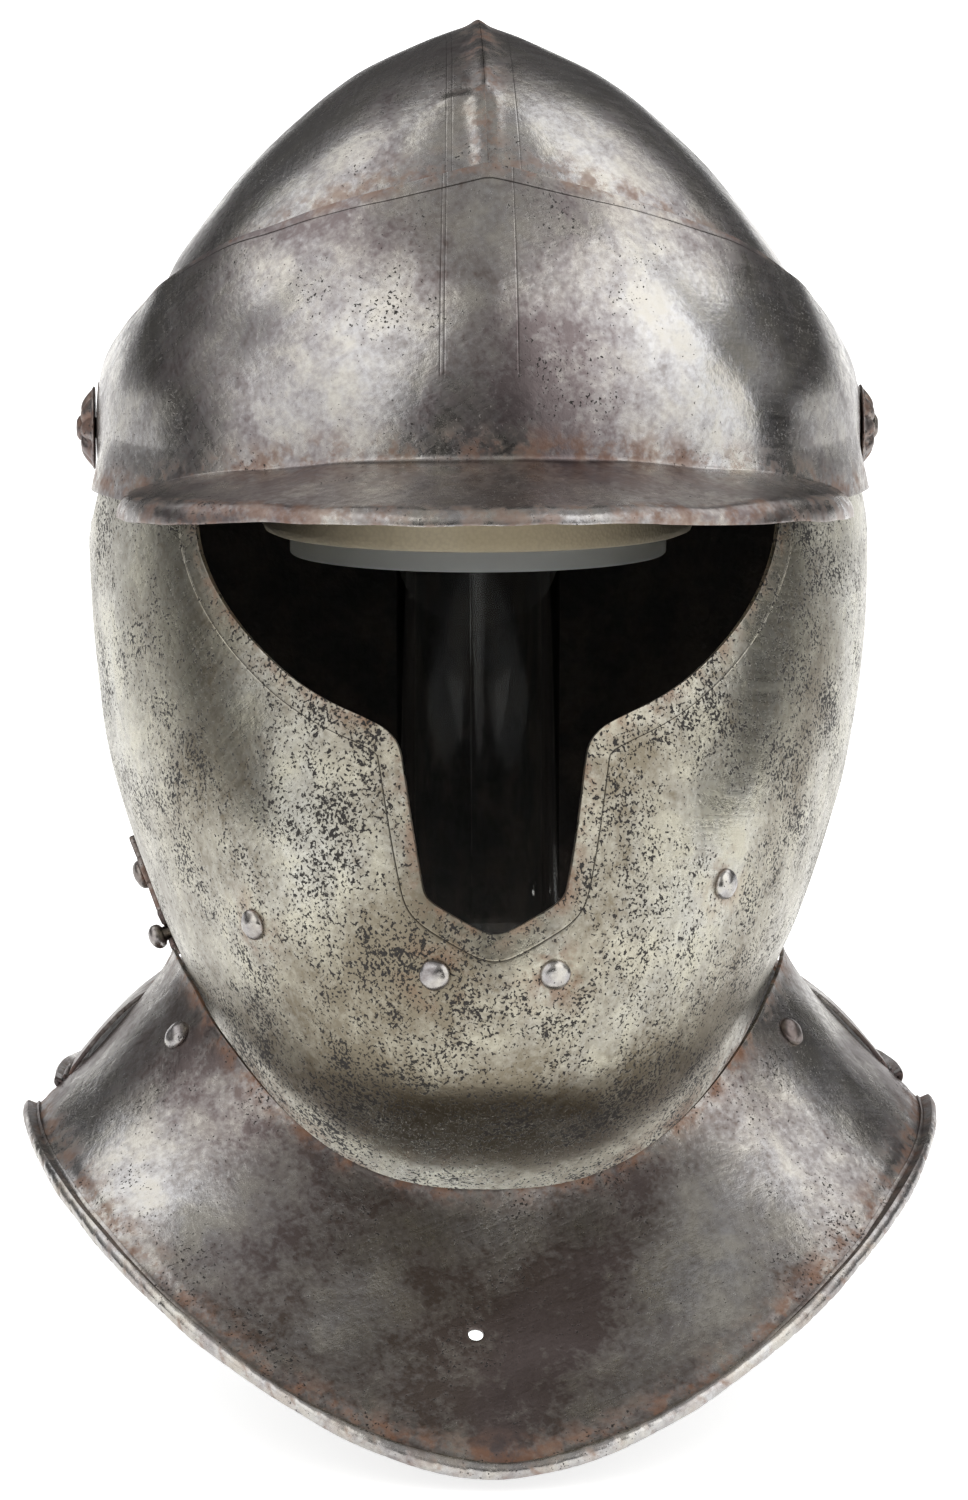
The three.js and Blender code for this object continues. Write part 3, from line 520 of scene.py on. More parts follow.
def peakEdge(s):
    turn = math.pi / 2 * s / fall["sideStation"]
    ahead = math.cos(turn)
    wave = 1.1 * noise.noise(Vector((s * 5.5, 3.1, 0))) + 0.5 * noise.noise(Vector((s * 19, 0, 7.7)))
    bow = 1.5 * noise.noise(Vector((s * 4.2, 9.3, 2)))
    return place(fall["peakHalf"] * math.sin(turn), fall["peakRoot"] + fall["peakReach"] * ahead + bow,
                 fall["peakSide"] + fall["peakRise"] * ahead + wave + fall["lip"])


def fallPlate():
    bm = bmesh.new()
    edgeLayer = bm.verts.layers.float.new("edge")
    last = fall["lastStation"]
    stations = [last * (abs(k) ** 0.9) * (1 if k >= 0 else -1) for k in spread(-1, 1, fall["columns"])]
    stations = withGrooves(stations, fall["lines"], fall["lineWidth"])
    borders = (0, 0.1, 0.25, 0.45, 0.65, 0.82, 0.92, 1, 1.08, 1.2, 1.4)
    rows = [("border", k) for k in borders] + [("brow", k) for k in spread(0, 1, fall["browRows"])[1:]]
    rows += [("bend", k) for k in spread(0, 1, 7)[1:]] + [("peak", k) for k in spread(0, 1, fall["peakRows"])[1:]]
    rows += [("lip", k) for k in (0.2, 0.4, 0.6, 0.8, 1)]

    def at(s, row):
        kind, k = row
        radius = max(fallRadius(s), 8)
        low, high = fallLow(s), fallHigh(s)
        border = mix(5, 2.3, smooth(abs(s), 0.02, 0.5)) / radius
        bend = fall["bend"] / radius
        rust = cut = 0.0
        if kind == "border":
            spot = browPoint(s, high - border * k)
            rust = 0.75 * math.exp(-((k / 0.7) ** 2))
            cut = fall["borderDepth"] * (k == 1)
        elif kind == "brow":
            angle = mix(high - border * 1.4, low + bend, k)
            spot = browPoint(s, angle)
            rust = 0.8 * smooth(k, 0.86, 1)
        else:
            corner, above = browPoint(s, low), browPoint(s, low + bend)
            flanged = abs(s) <= fall["sideStation"]
            out = peakEdge(s) if flanged else corner
            below = corner.lerp(out, min(1, fall["bend"] * mm / max((out - corner).length, 1e-6)) if flanged else 0)
            rust = 0.8 * (1 - k) if kind == "bend" else 0.0
            if kind == "bend":
                spot = above.lerp(corner, k).lerp(corner.lerp(below, k), k)
            elif kind == "peak":
                spot = below.lerp(out, k)
                rust = max(0.4 * (1 - k), 0.8 * smooth(k, 0.9, 1))
            else:
                rust = 0.6
                way = (out - corner).normalized() if flanged else Vector((0, 0, 0))
                turn = min(k / 0.8, 1) * math.pi / 2
                down = fall["lip"] * (1 - math.cos(turn)) + max(0, k - 0.8) * 3
                spot = out + (way * fall["lip"] * math.sin(turn) + Vector((0, 0, -down)) * flanged) * mm
        if kind in ("border", "brow") and any(abs(s - line) < 1e-6 for line in fall["lines"]):
            if kind == "border" or k < 0.72:
                cut = fall["lineDepth"]
        return spot, rust, cut

    mappedGrid(bm, stations, rows, at, edgeLayer)
    for side in (-1, 1):  # round end under each rosette

        def boss(turn, share):
            radius = fallRadius(last) * share
            d, z = radius * math.cos(turn), radius * math.sin(turn)
            return place(side * sideX(d, z, level(front, z)), d, z), 0.6

        low = fallLow(last)
        mappedGrid(bm, spread(low, low + 2 * math.pi, 64), spread(0, 1, 10), boss, edgeLayer)

    def lift(co):
        away = abs(co.x) / mm
        overBevor = smooth(away, 55, 80) * smooth(co.z / mm - helm["pivotHeight"], 34, 12)
        base = fall["inner"] + fall["standOff"] * max(overBevor, smooth(away, 82, 98)) + helm["plate"]
        calm = smooth(away, 96, 70)
        low = smooth(co.z / mm - helm["pivotHeight"], 38, 10)
        dents = 0.5 * low * calm * noise.noise(Vector((co.x * 62, co.y * 16 + 3, co.z * 15)))
        uneven = hammered(co, fall["hammer"])
        return base + max(dents + uneven * calm, fall["lowest"])

    finishSheet(bm, headCore, lift)
    stainAndLightPatches(bm, fall["patches"])
    piece = asObject(bm, "fall_plate", [fallSteel, insideFinish], "fall", ["fall"])
    plateWall(piece, helm["plate"], 0.3)
    return piece


fallPlate()
print("fall made")

# Bevor: one plate that runs round the face opening
bevor = {
    "opening": [
        (0, -122.2), (4, -121.2), (14, -115.6), (16.6, -113.8), (18.2, -112.2), (18.9, -109.5), (20.9, -98),
        (23.6, -80), (24.6, -73.6), (27, -70.3), (31, -67.6), (45, -62.3), (57.5, -54.5), (70, -41.5),
        (76.5, -29.5), (78.6, -18), (78.6, -8),
    ],
    "outer": [  # share along the opening, turn from the front in degrees, height
        (0, 0, -207), (0.125, 21, -203), (0.25, 40, -190), (0.4, 62, -171), (0.5, 80, -159), (0.57, 93, -158),
        (0.7, 93.2, -112), (0.85, 93.2, -58), (0.94, 93.2, -8), (0.965, 92.8, 5), (0.985, 91.4, 8.6), (1, 90, 9.5),
    ],
    "columns": 190, "rows": 74, "mmPerTurn": 2.1, "rearEdge": 9,
    "rims": (0, 0.4, 0.9, 1.6, 2.6, 3.8, 5.0, 6.0, 6.5, 6.8, 7.05, 7.3, 7.6, 8.2, 9.0),
    "line": 7.05, "lineDepth": 0.12,
    "offset": 0.55, "hammer": [(42, 0.55, 21), (20, 0.22, 27)],
    "rivets": {
        "bevor_rivet_side_right": (-62.6, -125), "bevor_rivet_front_right": (-15.5, -133),
        "bevor_rivet_front_left": (15.4, -133), "bevor_rivet_side_left": (61.7, -114),
    },
    # the five dark patches low on the chin, at heights -165 to -180, are painted shade under the chin
    "patches": [
        (-16, 140, -128, 24, 0.35), (20, 140, -126, 18, 0.25), (-60, 105, -75, 20, 0.22), (62, 104, -72, 20, 0.2),
        (-33, 135, -82, 15, 0.2), (33, 135, -82, 14, 0.12), (-98, 40, -60, 40, -0.3), (98, 40, -60, 40, -0.22),
        (-50, 125, -105, 22, -0.22), (52, 122, -98, 24, -0.25), (0, 140, -160, 30, -0.2), (-40, 125, -150, 22, 0.1),
        (86, 70, -60, 18, 0.2), (0, 128, -180, 24, 0.6), (30, 122, -178, 26, 0.55), (-30, 122, -178, 26, 0.55),
        (60, 92, -165, 26, 0.5), (-60, 92, -165, 26, 0.5),
    ],
}


def bevorPoint(turn, z):
    side = -1 if turn < 0 else 1
    ahead = 90 - abs(turn)
    if ahead < 0:
        d = -bevor["rearEdge"] * min(-ahead / 3, 1.1)
        return place(side * sideX(d, z, 1e4), d, z)
    reach = level(front, z)
    d = reach * math.sin(math.radians(ahead))
    return place(side * sideX(d, z, reach), d, z)


def roundedLine(points, passes):  # corner cutting, ends kept
    for step in range(passes):
        cut = [points[0]]
        for a, b in zip(points, points[1:]):
            cut += [tuple(mix(p, q, 0.25) for p, q in zip(a, b)), tuple(mix(p, q, 0.75) for p, q in zip(a, b))]
        points = cut + [points[-1]]
    return points


def evenly(points, count):
    runs = [0]
    for a, b in zip(points, points[1:]):
        runs.append(runs[-1] + math.dist(a, b))
    found, i = [], 0
    for want in spread(0, runs[-1], count):
        while i < len(points) - 2 and runs[i + 1] < want:
            i += 1
        k = (want - runs[i]) / max(runs[i + 1] - runs[i], 1e-9)
        found.append(tuple(mix(p, q, k) for p, q in zip(points[i], points[i + 1])))
    return found


def bevorPlate():
    bm = bmesh.new()
    edgeLayer = bm.verts.layers.float.new("edge")
    scale = bevor["mmPerTurn"]
    flat = [(math.degrees(math.asin(x / level(half, z))) * scale, z) for x, z in bevor["opening"]]
    mirrored = [(-p, z) for p, z in reversed(flat[1:])]
    inner = evenly(roundedLine(mirrored + flat, 3), bevor["columns"] * 2 + 1)
    normals = []
    for i, spot in enumerate(inner):
        a, b = inner[max(i - 3, 0)], inner[min(i + 3, len(inner) - 1)]
        long = math.dist(a, b)
        normals.append(((b[1] - a[1]) / long, -(b[0] - a[0]) / long))
    middle = bevor["columns"]
    rows = [("rim", k) for k in bevor["rims"]] + [("sheet", k) for k in spread(0, 1, bevor["rows"])[1:]]

    def at(i, row):
        kind, k = row
        share = (i - middle) / middle
        side = -1 if share < 0 else 1
        offset = k if kind == "rim" else bevor["rims"][-1]
        near = [inner[i][c] + normals[i][c] * offset for c in (0, 1)]
        rust = 0.0
        if kind == "rim":
            turn, z = near[0] / scale, near[1]
            rust = 0.7 * math.exp(-((k / 4) ** 2))
        else:
            outTurn = side * along(bevor["outer"], 1, abs(share))
            outZ = along(bevor["outer"], 2, abs(share))
            turn, z = mix(near[0] / scale, outTurn, k), mix(near[1], outZ, k)
            rust = 0.9 * smooth(k, 0.9, 1)
        return bevorPoint(turn, z), rust, bevor["lineDepth"] * (kind == "rim" and k == bevor["line"])

    mappedGrid(bm, list(range(len(inner))), rows, at, edgeLayer)
    seats = [rivetSeat(bevorPoint, math.degrees(math.asin(x / level(half, z))), z, 0.1, headCore)[0]
             for x, z in bevor["rivets"].values()]
    for vert in bm.verts:
        near = min((vert.co - seat).length for seat in seats) / mm
        vert[edgeLayer] = max(vert[edgeLayer], math.exp(-((near / 8) ** 2)))

    def lift(co):
        x, z = co.x / mm, co.z / mm - helm["pivotHeight"]
        calm = smooth(math.hypot(co.y / mm, z), 16, 60)
        ridge = 0.9 * math.exp(-((x / 7) ** 2)) * smooth(-z, 118, 132) * smooth(-z, 178, 160) * (co.y < 0)
        streak = 0.3 * noise.noise(Vector((co.x * 75, co.y * 40, co.z * 12)))
        uneven = hammered(co, bevor["hammer"]) + streak
        return bevor["offset"] + helm["plate"] + ridge + uneven * calm

    finishSheet(bm, headCore, lift)
    stainAndLightPatches(bm, bevor["patches"])
    piece = asObject(bm, "bevor_plate", [bevorSteel, insideFinish], "bevor", ["bevor"])
    plateWall(piece, helm["plate"], 0.35)
    return piece


def rivetSeat(surface, u, v, step, core):
    here = surface(u, v)
    across = surface(u + step, v) - surface(u - step, v)
    normal = across.cross(surface(u, v + step) - surface(u, v - step)).normalized()
    if normal.dot(here - core) < 0:
        normal.negate()
    return here, normal


bevorPlate()
print("bevor made")

# Gorget plates with rolled, filed rims
gorget = {
    "columns": 430, "rows": 52, "roll": 2.5, "notchPitch": 8.5, "notchDepth": 0.55, "groove": 6.5,
    "neckZ": -200, "neckLift": 51, "neckPower": 2.7, "neckWrap": 0.944, "offSide": 4.6, "offFront": 9,
    "rimHalf": 130.5, "rimSide": 12.2, "rimReach": 160.8, "rimZ": -263, "rimLift": 66, "rimPower": 1.66,
    "rearNeckHalf": 88.2, "rearNeckReach": 95.5, "rearNeckZ": -138, "rearNeckDrop": 21, "rearSide": 11,
    "rearRimSide": 11.2, "rearRimHalf": 122, "rearRimReach": 163, "rearRimZ": -236, "rearRimLift": 46,
    "rearSweep": 1.35, "rearSideSweep": 0.62,
    # the second value on the next line is the strength of the painted highlight along the rim bead
    "hole": (-3.5, 138, -231, 2.15), "beadHighlight": 0.5, "tuck": 1.0,
    "hammer": [(38, 0.7, 0), (20, 0.42, 4), (11, 0.12, 9)],
    "rivets": {"gorget_rivet_right": (-71, 0.21), "gorget_rivet_left": (71, 0.21)},
    "neckRivets": {"neck_rivet_right": (-24, 0.07), "neck_rivet_left": (24, 0.07)},
    # the eight bright patches on the front plate's left and right are partly stains and partly painted reflections;
    # the three dark patches on the rear plate's shoulders, on the last line, are painted shade
    "patches": [
        (-92, 80, -200, 24, -0.45), (-70, 105, -215, 20, -0.4), (-104, 40, -190, 20, -0.35),
        (-40, 138, -225, 20, -0.22),
        (88, 88, -205, 26, -0.4), (104, 50, -190, 22, -0.35), (50, 130, -222, 20, -0.3), (30, 150, -240, 16, -0.18),
        (-5, 140, -235, 34, 0.3), (-55, 128, -238, 20, 0.25), (70, 118, -232, 20, 0.2),
        (60, -120, -200, 40, -0.25), (-50, -125, -205, 40, -0.2), (0, -140, -220, 30, 0.2),
        (112, -4, -175, 26, 0.45), (-112, -4, -175, 24, 0.3), (122, 14, -190, 14, 0.3),
    ],
}


def neckPoint(turn):
    z = gorget["neckZ"] + gorget["neckLift"] * abs(math.sin(turn)) ** gorget["neckPower"]
    spot = bevorPoint(math.degrees(turn) * gorget["neckWrap"], z)
    out = Vector((spot.x / level(half, z) ** 2, spot.y / level(front, z) ** 2, 0)).normalized()
    return spot + out * mix(gorget["offSide"], gorget["offFront"], math.cos(turn) ** 2) * mm


def frontGorgetPoint(turn, t):
    s, c = math.sin(turn), math.cos(turn)
    top = neckPoint(turn)
    low = place(gorget["rimHalf"] * s, gorget["rimSide"] + gorget["rimReach"] * c,
                gorget["rimZ"] + gorget["rimLift"] * abs(s) ** gorget["rimPower"])
    k = math.copysign(abs(t) ** 1.25, t)
    top.x -= math.copysign(gorget["tuck"] * smooth(abs(s), 0.9, 0.99), s) * mm
    return Vector((mix(top.x, low.x, k), mix(top.y, low.y, k), mix(top.z, low.z, t)))


def rearGorgetPoint(turn, t):
    s, c = math.sin(turn), math.cos(turn)
    top = place(gorget["rearNeckHalf"] * s, gorget["rearSide"] - gorget["rearNeckReach"] * c,
                gorget["rearNeckZ"] - gorget["rearNeckDrop"] * s * s)
    low = place(gorget["rearRimHalf"] * s, gorget["rearRimSide"] - gorget["rearRimReach"] * c,
                gorget["rearRimZ"] + gorget["rearRimLift"] * abs(s) ** 1.15)
    k = math.copysign(abs(t) ** mix(gorget["rearSweep"], gorget["rearSideSweep"], s * s), t)
    return Vector((mix(top.x, low.x, k), mix(top.y, low.y, k), mix(top.z, low.z, t)))


def gorgetPlate(surface, name, node, body, seed):
    bm = bmesh.new()
    edgeLayer = bm.verts.layers.float.new("edge")
    turns = spread(-math.pi / 2, math.pi / 2, gorget["columns"])
    runs = [0.0]
    for a, b in zip(turns, turns[1:]):
        runs.append(runs[-1] + (surface(b, 1) - surface(a, 1)).length / mm)
    rows = [("sheet", k) for k in spread(0, 1, gorget["rows"])]
    rows += [("step", k) for k in (3, 2.2, 1.4, 0.7)]
    rows += [("roll", k) for k in spread(100, -190, 15)]

    def frameAt(turn):
        end = surface(turn, 1)
        down = (end - surface(turn, 0.97)).normalized()
        sideways = (surface(turn + 0.01, 1) - surface(turn - 0.01, 1)).normalized()
        up = down.cross(sideways).normalized()
        if up.z < 0:
            up.negate()
        return end, down, up, (end - surface(turn, 0)).length / mm

    frames = [frameAt(turn) for turn in turns]

    def at(i, row):
        kind, k = row
        end, down, up, long = frames[i]
        roll = gorget["roll"]
        flatEnd = 1 - (gorget["groove"] + roll) / long
        centre = end - down * roll * mm
        if kind == "sheet":
            spot = surface(turns[i], flatEnd * k)
            rust = max(math.exp(-((k * long / 6) ** 2)), 0.5 * smooth(k, 0.9, 1))
        elif kind == "step":  # sunken border beside the roll
            share = 1 - (gorget["groove"] * k / 3.6 + roll) / long
            spot = surface(turns[i], share) - up * 0.5 * math.sin(math.pi * k / 3.3) * mm
            rust = 0.85
        else:
            angle = math.radians(k)
            phase = (runs[i] / gorget["notchPitch"] + k / 260) % 1
            notch = max(0, 1 - abs(phase - 0.5) / 0.13) * smooth(k, -60, -20) * smooth(k, 98, 60)
            wear = 0.6 + 0.4 * noise.noise(Vector((runs[i] * 0.03, seed, 0)))
            radius = roll - gorget["notchDepth"] * notch * wear
            spot = centre + (down * math.cos(angle) + up * math.sin(angle)) * radius * mm
            rust = 0.25 + 0.7 * notch
        return spot, rust

    mappedGrid(bm, list(range(len(turns))), rows, at, edgeLayer)

    def lift(co):
        return hammered(co, gorget["hammer"], seed)

    finishSheet(bm, neckCore, lift)
    stainAndLightPatches(bm, gorget["patches"])
    brighten = bm.verts.layers.float["stainAndPaintedLight"]
    widest = surface(math.pi / 2, 1).x
    for vert in bm.verts:  # painted highlight along the rolled bead of the rim
        end = surface(math.asin(max(-1, min(1, vert.co.x / widest))), 1)
        vert[brighten] -= gorget["beadHighlight"] * smooth((vert.co - end).length / mm, 5.6, 4.4)
    if node == "gorget_front":  # lace hole
        x, d, z, radius = gorget["hole"]
        spot = place(x, d, z)
        nearest = min(bm.verts, key=lambda vert: (vert.co - spot).length - 0.3 * abs(vert.co.x - spot.x))
        punch(bm, nearest.co.copy(), radius * mm)
    piece = asObject(bm, name, [gorgetSteel, insideFinish], body, [node])
    plateWall(piece, helm["plate"] * 0.9, 0.25)
    return piece


def punch(bm, spot, radius):  # clear the faces inside a small round hole and round off its edge
    inside = [face for face in bm.faces if (face.calc_center_median() - spot).length < radius]
    bmesh.ops.delete(bm, geom=inside, context="FACES")
    for vert in bm.verts:
        away = vert.co - spot
        if vert.is_boundary and away.length < radius * 2.2:
            vert.co = spot + away.normalized() * radius


gorgetPlate(frontGorgetPoint, "gorget_plate_front", "gorget_front", "bevor", 31)
gorgetPlate(rearGorgetPoint, "gorget_plate_rear", "gorget_rear", "skull", 37)
print("gorget plates made")

# Turned fittings: rivets, rosettes, stud and stand
fitting = {
    "rivetRadius": 4.3, "rivetHeight": 2.5, "rivetSteps": 32,
    "rosetteRadius": 11.4, "rosetteHeight": 5.4, "petals": 8, "rosetteBase": 4.45,
}


def turnedPiece(rows, origin, direction, steps, shape=None):
    bm = bmesh.new()
    verts = [bm.verts.new((radius * mm, 0, height * mm)) for radius, height in rows]
    edges = [bm.edges.new(pair) for pair in zip(verts, verts[1:])]
    bmesh.ops.spin(bm, geom=verts + edges, cent=(0, 0, 0), axis=(0, 0, 1), angle=2 * math.pi, steps=steps,
                   use_merge=True)
    bmesh.ops.remove_doubles(bm, verts=bm.verts, dist=1e-6)
    bmesh.ops.dissolve_degenerate(bm, edges=bm.edges, dist=1e-7)
    if shape:
        for vert in bm.verts:
            vert.co = shape(vert.co / mm) * mm
    bmesh.ops.recalc_face_normals(bm, faces=bm.faces)
    turn = Vector((0, 0, 1)).rotation_difference(direction).to_matrix().to_4x4()
    bmesh.ops.transform(bm, matrix=Matrix.Translation(origin) @ turn, verts=bm.verts)
    return bm


def roundRows(corners, radius, steps=4):  # profile with its inner corners rounded
    rows = [corners[0]]
    for a, b, c in zip(corners, corners[1:], corners[2:]):
        a, b, c = Vector(a), Vector(b), Vector(c)
        cut = min(radius, (a - b).length * 0.45, (c - b).length * 0.45)
        start, end = b + (a - b).normalized() * cut, b + (c - b).normalized() * cut
        rows += [tuple(start.lerp(b, k).lerp(b.lerp(end, k), k)) for k in spread(0, 1, steps)]
    return rows + [corners[-1]]


def rivet(node, seat, normal, high, body, finish, tail=-3.2):
    head, height = fitting["rivetRadius"], fitting["rivetHeight"]
    rows = [(0, tail), (2, tail), (2, high - 0.15), (head * 0.97, high - 0.15), (head, high + 0.25)]
    rows += [(head * math.cos(k), high + 0.25 + height * math.sin(k)) for k in spread(0.12, math.pi / 2 - 0.12, 9)]
    rows += [(0, high + 0.25 + height)]
    seed = sum(map(ord, node))

    def dented(co):
        push = 0.22 * noise.noise(co * 0.35 + Vector((seed, 0, 0)))
        return co * (1 + push * 0.12) + Vector((0, 0, push * (co.z > high)))

    bm = turnedPiece(rows, seat, normal, fitting["rivetSteps"], dented)
    layer = bm.verts.layers.float.new("edge")
    for vert in bm.verts:
        vert[layer] = 0.9 * smooth((vert.co - seat).dot(normal) / mm, high + 1.1, high)
    return asObject(bm, node + "_head", [finish], body, [node])


for node, (x, z) in bevor["rivets"].items():
    seat, normal = rivetSeat(bevorPoint, math.degrees(math.asin(x / level(half, z))), z, 0.1, headCore)
    rivet(node, seat, normal, 1.95, "bevor", fittingSteel, -1.2)
for node, (turn, t) in gorget["rivets"].items():
    seat, normal = rivetSeat(frontGorgetPoint, math.radians(turn), t, 0.001, neckCore)
    rivet(node, seat, normal, 0.1, "bevor", darkFittingSteel if turn > 0 else fittingSteel)
for node, (turn, t) in gorget["neckRivets"].items():
    seat, normal = rivetSeat(rearGorgetPoint, math.radians(turn), t, 0.001, neckCore)
    out = (normal + Vector((normal.x, normal.y, 0))).normalized()
    rivet(node, seat, out, 0.25, "skull", fittingSteel, -9)


def rosette(node, side):
    base, radius, top = fitting["rosetteBase"], fitting["rosetteRadius"], fitting["rosetteHeight"]
    rows = [(0, -3.4), (3, -3.4), (3, base), (radius * 1.02, base), (radius * 1.04, base + 0.4)]
    rows += [(radius * 0.98, base + 0.8)]
    rows += [(radius * mix(0.97, 0.36, k), base + 0.8 + (top - 2.2) * math.sin(k * 2.0)) for k in spread(0.04, 1, 16)]
    rows += [(radius * 0.33, base + top - 1.9), (radius * 0.3, base + top - 0.9)]
    rows += [(radius * 0.2, base + top - 0.15), (0, base + top)]

    def petal(co):
        away = math.hypot(co.x, co.y)
        if co.z < base + 0.75 or away < radius * 0.31:
            return co
        lobe = abs(math.cos(fitting["petals"] / 2 * math.atan2(co.y, co.x)))
        deep = (1 - lobe) ** 1.6 * smooth(away, radius * 0.3, radius * 0.6)
        swell = 1 - 0.11 * deep * smooth(away, radius * 0.5, radius)
        return Vector((co.x * swell, co.y * swell, co.z - 1.5 * deep * smooth(co.z, base + 0.6, base + 2)))

    bm = turnedPiece(rows, place(side * helm["poleHalf"], 0, 0), Vector((side, 0, 0)), 96, petal)
    layer = bm.verts.layers.float.new("edge")
    for vert in bm.verts:
        vert[layer] = 0.6
    return asObject(bm, node + "_rosette", [darkFittingSteel], "skull", [node])


rosette("pivot_right", -1)
rosette("pivot_left", 1)
print("rivets and rosettes made")

# Swivel hook and its stud on the wearer's right
hook = {
    "d": -14, "z": -130.5, "thick": 1.8, "eye": 5.6, "claw": 7.2, "slot": 2.9, "end": (11, -17), "lever": 11.4,
    "studDrop": 17, "knob": 3.6, "studNeck": 2.1,
}
slope = math.atan((level(half, hook["z"]) - level(half, hook["z"] - hook["studDrop"])) / hook["studDrop"])
hookOut = Vector((-math.cos(slope), 0, -math.sin(slope)))
hookUp = Vector((-math.sin(slope), 0, math.cos(slope)))
hookAhead = Vector((0, -1, 0))
cheekHalf = level(half, hook["z"]) + (bevor["offset"] + helm["plate"]) / math.cos(slope)
hookCentre = place(-cheekHalf, hook["d"], hook["z"]) + hookOut * (0.8 + hook["thick"] / 2) * mm


def arc(centre, radius, first, last, count):
    return [(centre[0] + radius * math.cos(math.radians(a)), centre[1] + radius * math.sin(math.radians(a)))
            for a in spread(first, last, count)]


def swivelHook():
    end = hook["end"]
    outline = arc(end, hook["claw"], 63, 92, 6) + arc((0, 0), hook["eye"], -26, 78, 12)
    outline += arc((-2.6, hook["lever"] - 2.4), 2.3, 20, 190, 8) + arc((0, 0), hook["eye"], 135, 266, 12)
    outline += arc(end, hook["claw"], 152, 336, 20) + arc(end, hook["slot"], 336, 63, 20)
    bm = bmesh.new()
    layer = bm.verts.layers.float.new("edge")
    low = hookCentre - hookOut * hook["thick"] / 2 * mm
    verts = [bm.verts.new(low + (hookAhead * a + hookUp * u) * mm) for a, u in outline]
    face = bm.faces.new(verts)
    made = bmesh.ops.extrude_face_region(bm, geom=[face])["geom"]
    top = [item for item in made if isinstance(item, bmesh.types.BMVert)]
    bmesh.ops.translate(bm, verts=top, vec=hookOut * hook["thick"] * mm)
    bmesh.ops.recalc_face_normals(bm, faces=bm.faces)
    sharp = [edge for edge in bm.edges if len(edge.link_faces) == 2 and edge.calc_face_angle() > 1.2]
    bmesh.ops.bevel(bm, geom=sharp, offset=0.45 * mm, affect="EDGES", segments=3, profile=0.5, material=-1)
    bmesh.ops.triangulate(bm, faces=[face for face in bm.faces if len(face.verts) > 4])
    for vert in bm.verts:
        vert[layer] = 0.5
    piece = asObject(bm, "swivel_hook_plate", [darkFittingSteel], "hook", ["swivel_hook"])
    piece.data.set_sharp_from_angle(angle=math.radians(40))
    return piece


swivelHook()
rivet("hook_rivet", hookCentre, hookOut, hook["thick"] / 2 + 0.2, "skull", darkFittingSteel, -6.5)
studSpot = hookCentre + (hookAhead * hook["end"][0] + hookUp * hook["end"][1]) * mm
studTop = hook["thick"] / 2 + 0.5
studRows = [(0, -3.2), (hook["studNeck"], -3.2), (hook["studNeck"], studTop)]
studRows += [(hook["knob"] * mix(0.62, 1, math.sin(k)), studTop + 2.2 - 2 * math.cos(k))
             for k in spread(0.1, 1.57, 6)]
studRows += [(hook["knob"] * math.cos(k), studTop + 2.2 + 2.6 * math.sin(k)) for k in spread(0.15, 1.45, 7)]
studRows += [(0, studTop + 4.8)]
stud = turnedPiece(studRows, studSpot, hookOut, 32)
asObject(stud, "hook_stud_knob", [fittingSteel], "bevor", ["hook_stud"])
print("hook and stud made")

# Display stand: clear foot, tube and disc with a foam pad
stand = {
    "foot": 58, "footThick": 8, "tube": 23.5, "bore": 18.5, "disc": 54, "discLow": -36, "discThick": 5.9,
    "pad": 62, "padLow": -29.8, "padShoulder": 22, "padTop": 113,
}


def standPiece(name, node, rows, finish, steps=96):
    bm = turnedPiece(rows, Vector((0, 0, 0)), Vector((0, 0, 1)), steps)
    piece = asObject(bm, name, [finish], "skull", [node])
    piece.data.set_sharp_from_angle(angle=math.radians(50))
    return piece


up = helm["pivotHeight"]
discLow, discHigh = up + stand["discLow"], up + stand["discLow"] + stand["discThick"]
tubeLow, tubeHigh = stand["footThick"] + 0.3, discLow - 0.3
footRows = roundRows([(0, 0), (stand["foot"], 0), (stand["foot"], stand["footThick"]), (0, stand["footThick"])], 1)
discRows = roundRows([(0, discLow), (stand["disc"], discLow), (stand["disc"], discHigh), (0, discHigh)], 0.8)
tubeRows = [(stand["bore"], tubeLow), (stand["tube"] - 0.3, tubeLow), (stand["tube"], tubeLow + 0.3),
            (stand["tube"], tubeHigh - 0.3), (stand["tube"] - 0.3, tubeHigh), (stand["bore"], tubeHigh),
            (stand["bore"], tubeLow)]
standPiece("stand_foot_disc", "stand_foot", footRows, acrylicFinish)
standPiece("stand_clear_tube", "stand_tube", tubeRows, acrylicFinish)
standPiece("stand_clear_disc", "stand_disc", discRows, sawnFinish)
padLow = up + stand["padLow"]
padRows = [(0, padLow), (stand["pad"] - 3, padLow), (stand["pad"] - 1, padLow + 0.8), (stand["pad"], padLow + 3)]
padRows += [(stand["pad"] + 0.4 * math.sin(k * math.pi), mix(padLow + 3, up + stand["padShoulder"], k))
            for k in spread(0.1, 0.95, 8)]
edge = along(helm["crown"], 1, 0.5), along(helm["crown"], 2, 0.5)
for s in spread(0.5, 0, 24):
    share = (along(helm["crown"], 2, s) - edge[1]) / (helm["crownRadius"] - edge[1])
    padRows.append((along(helm["crown"], 1, s) / edge[0] * stand["pad"],
                    up + mix(stand["padShoulder"], stand["padTop"], share)))
pad = standPiece("stand_foam_pad", "stand_pad", padRows, foamFinish)
print("stand made")

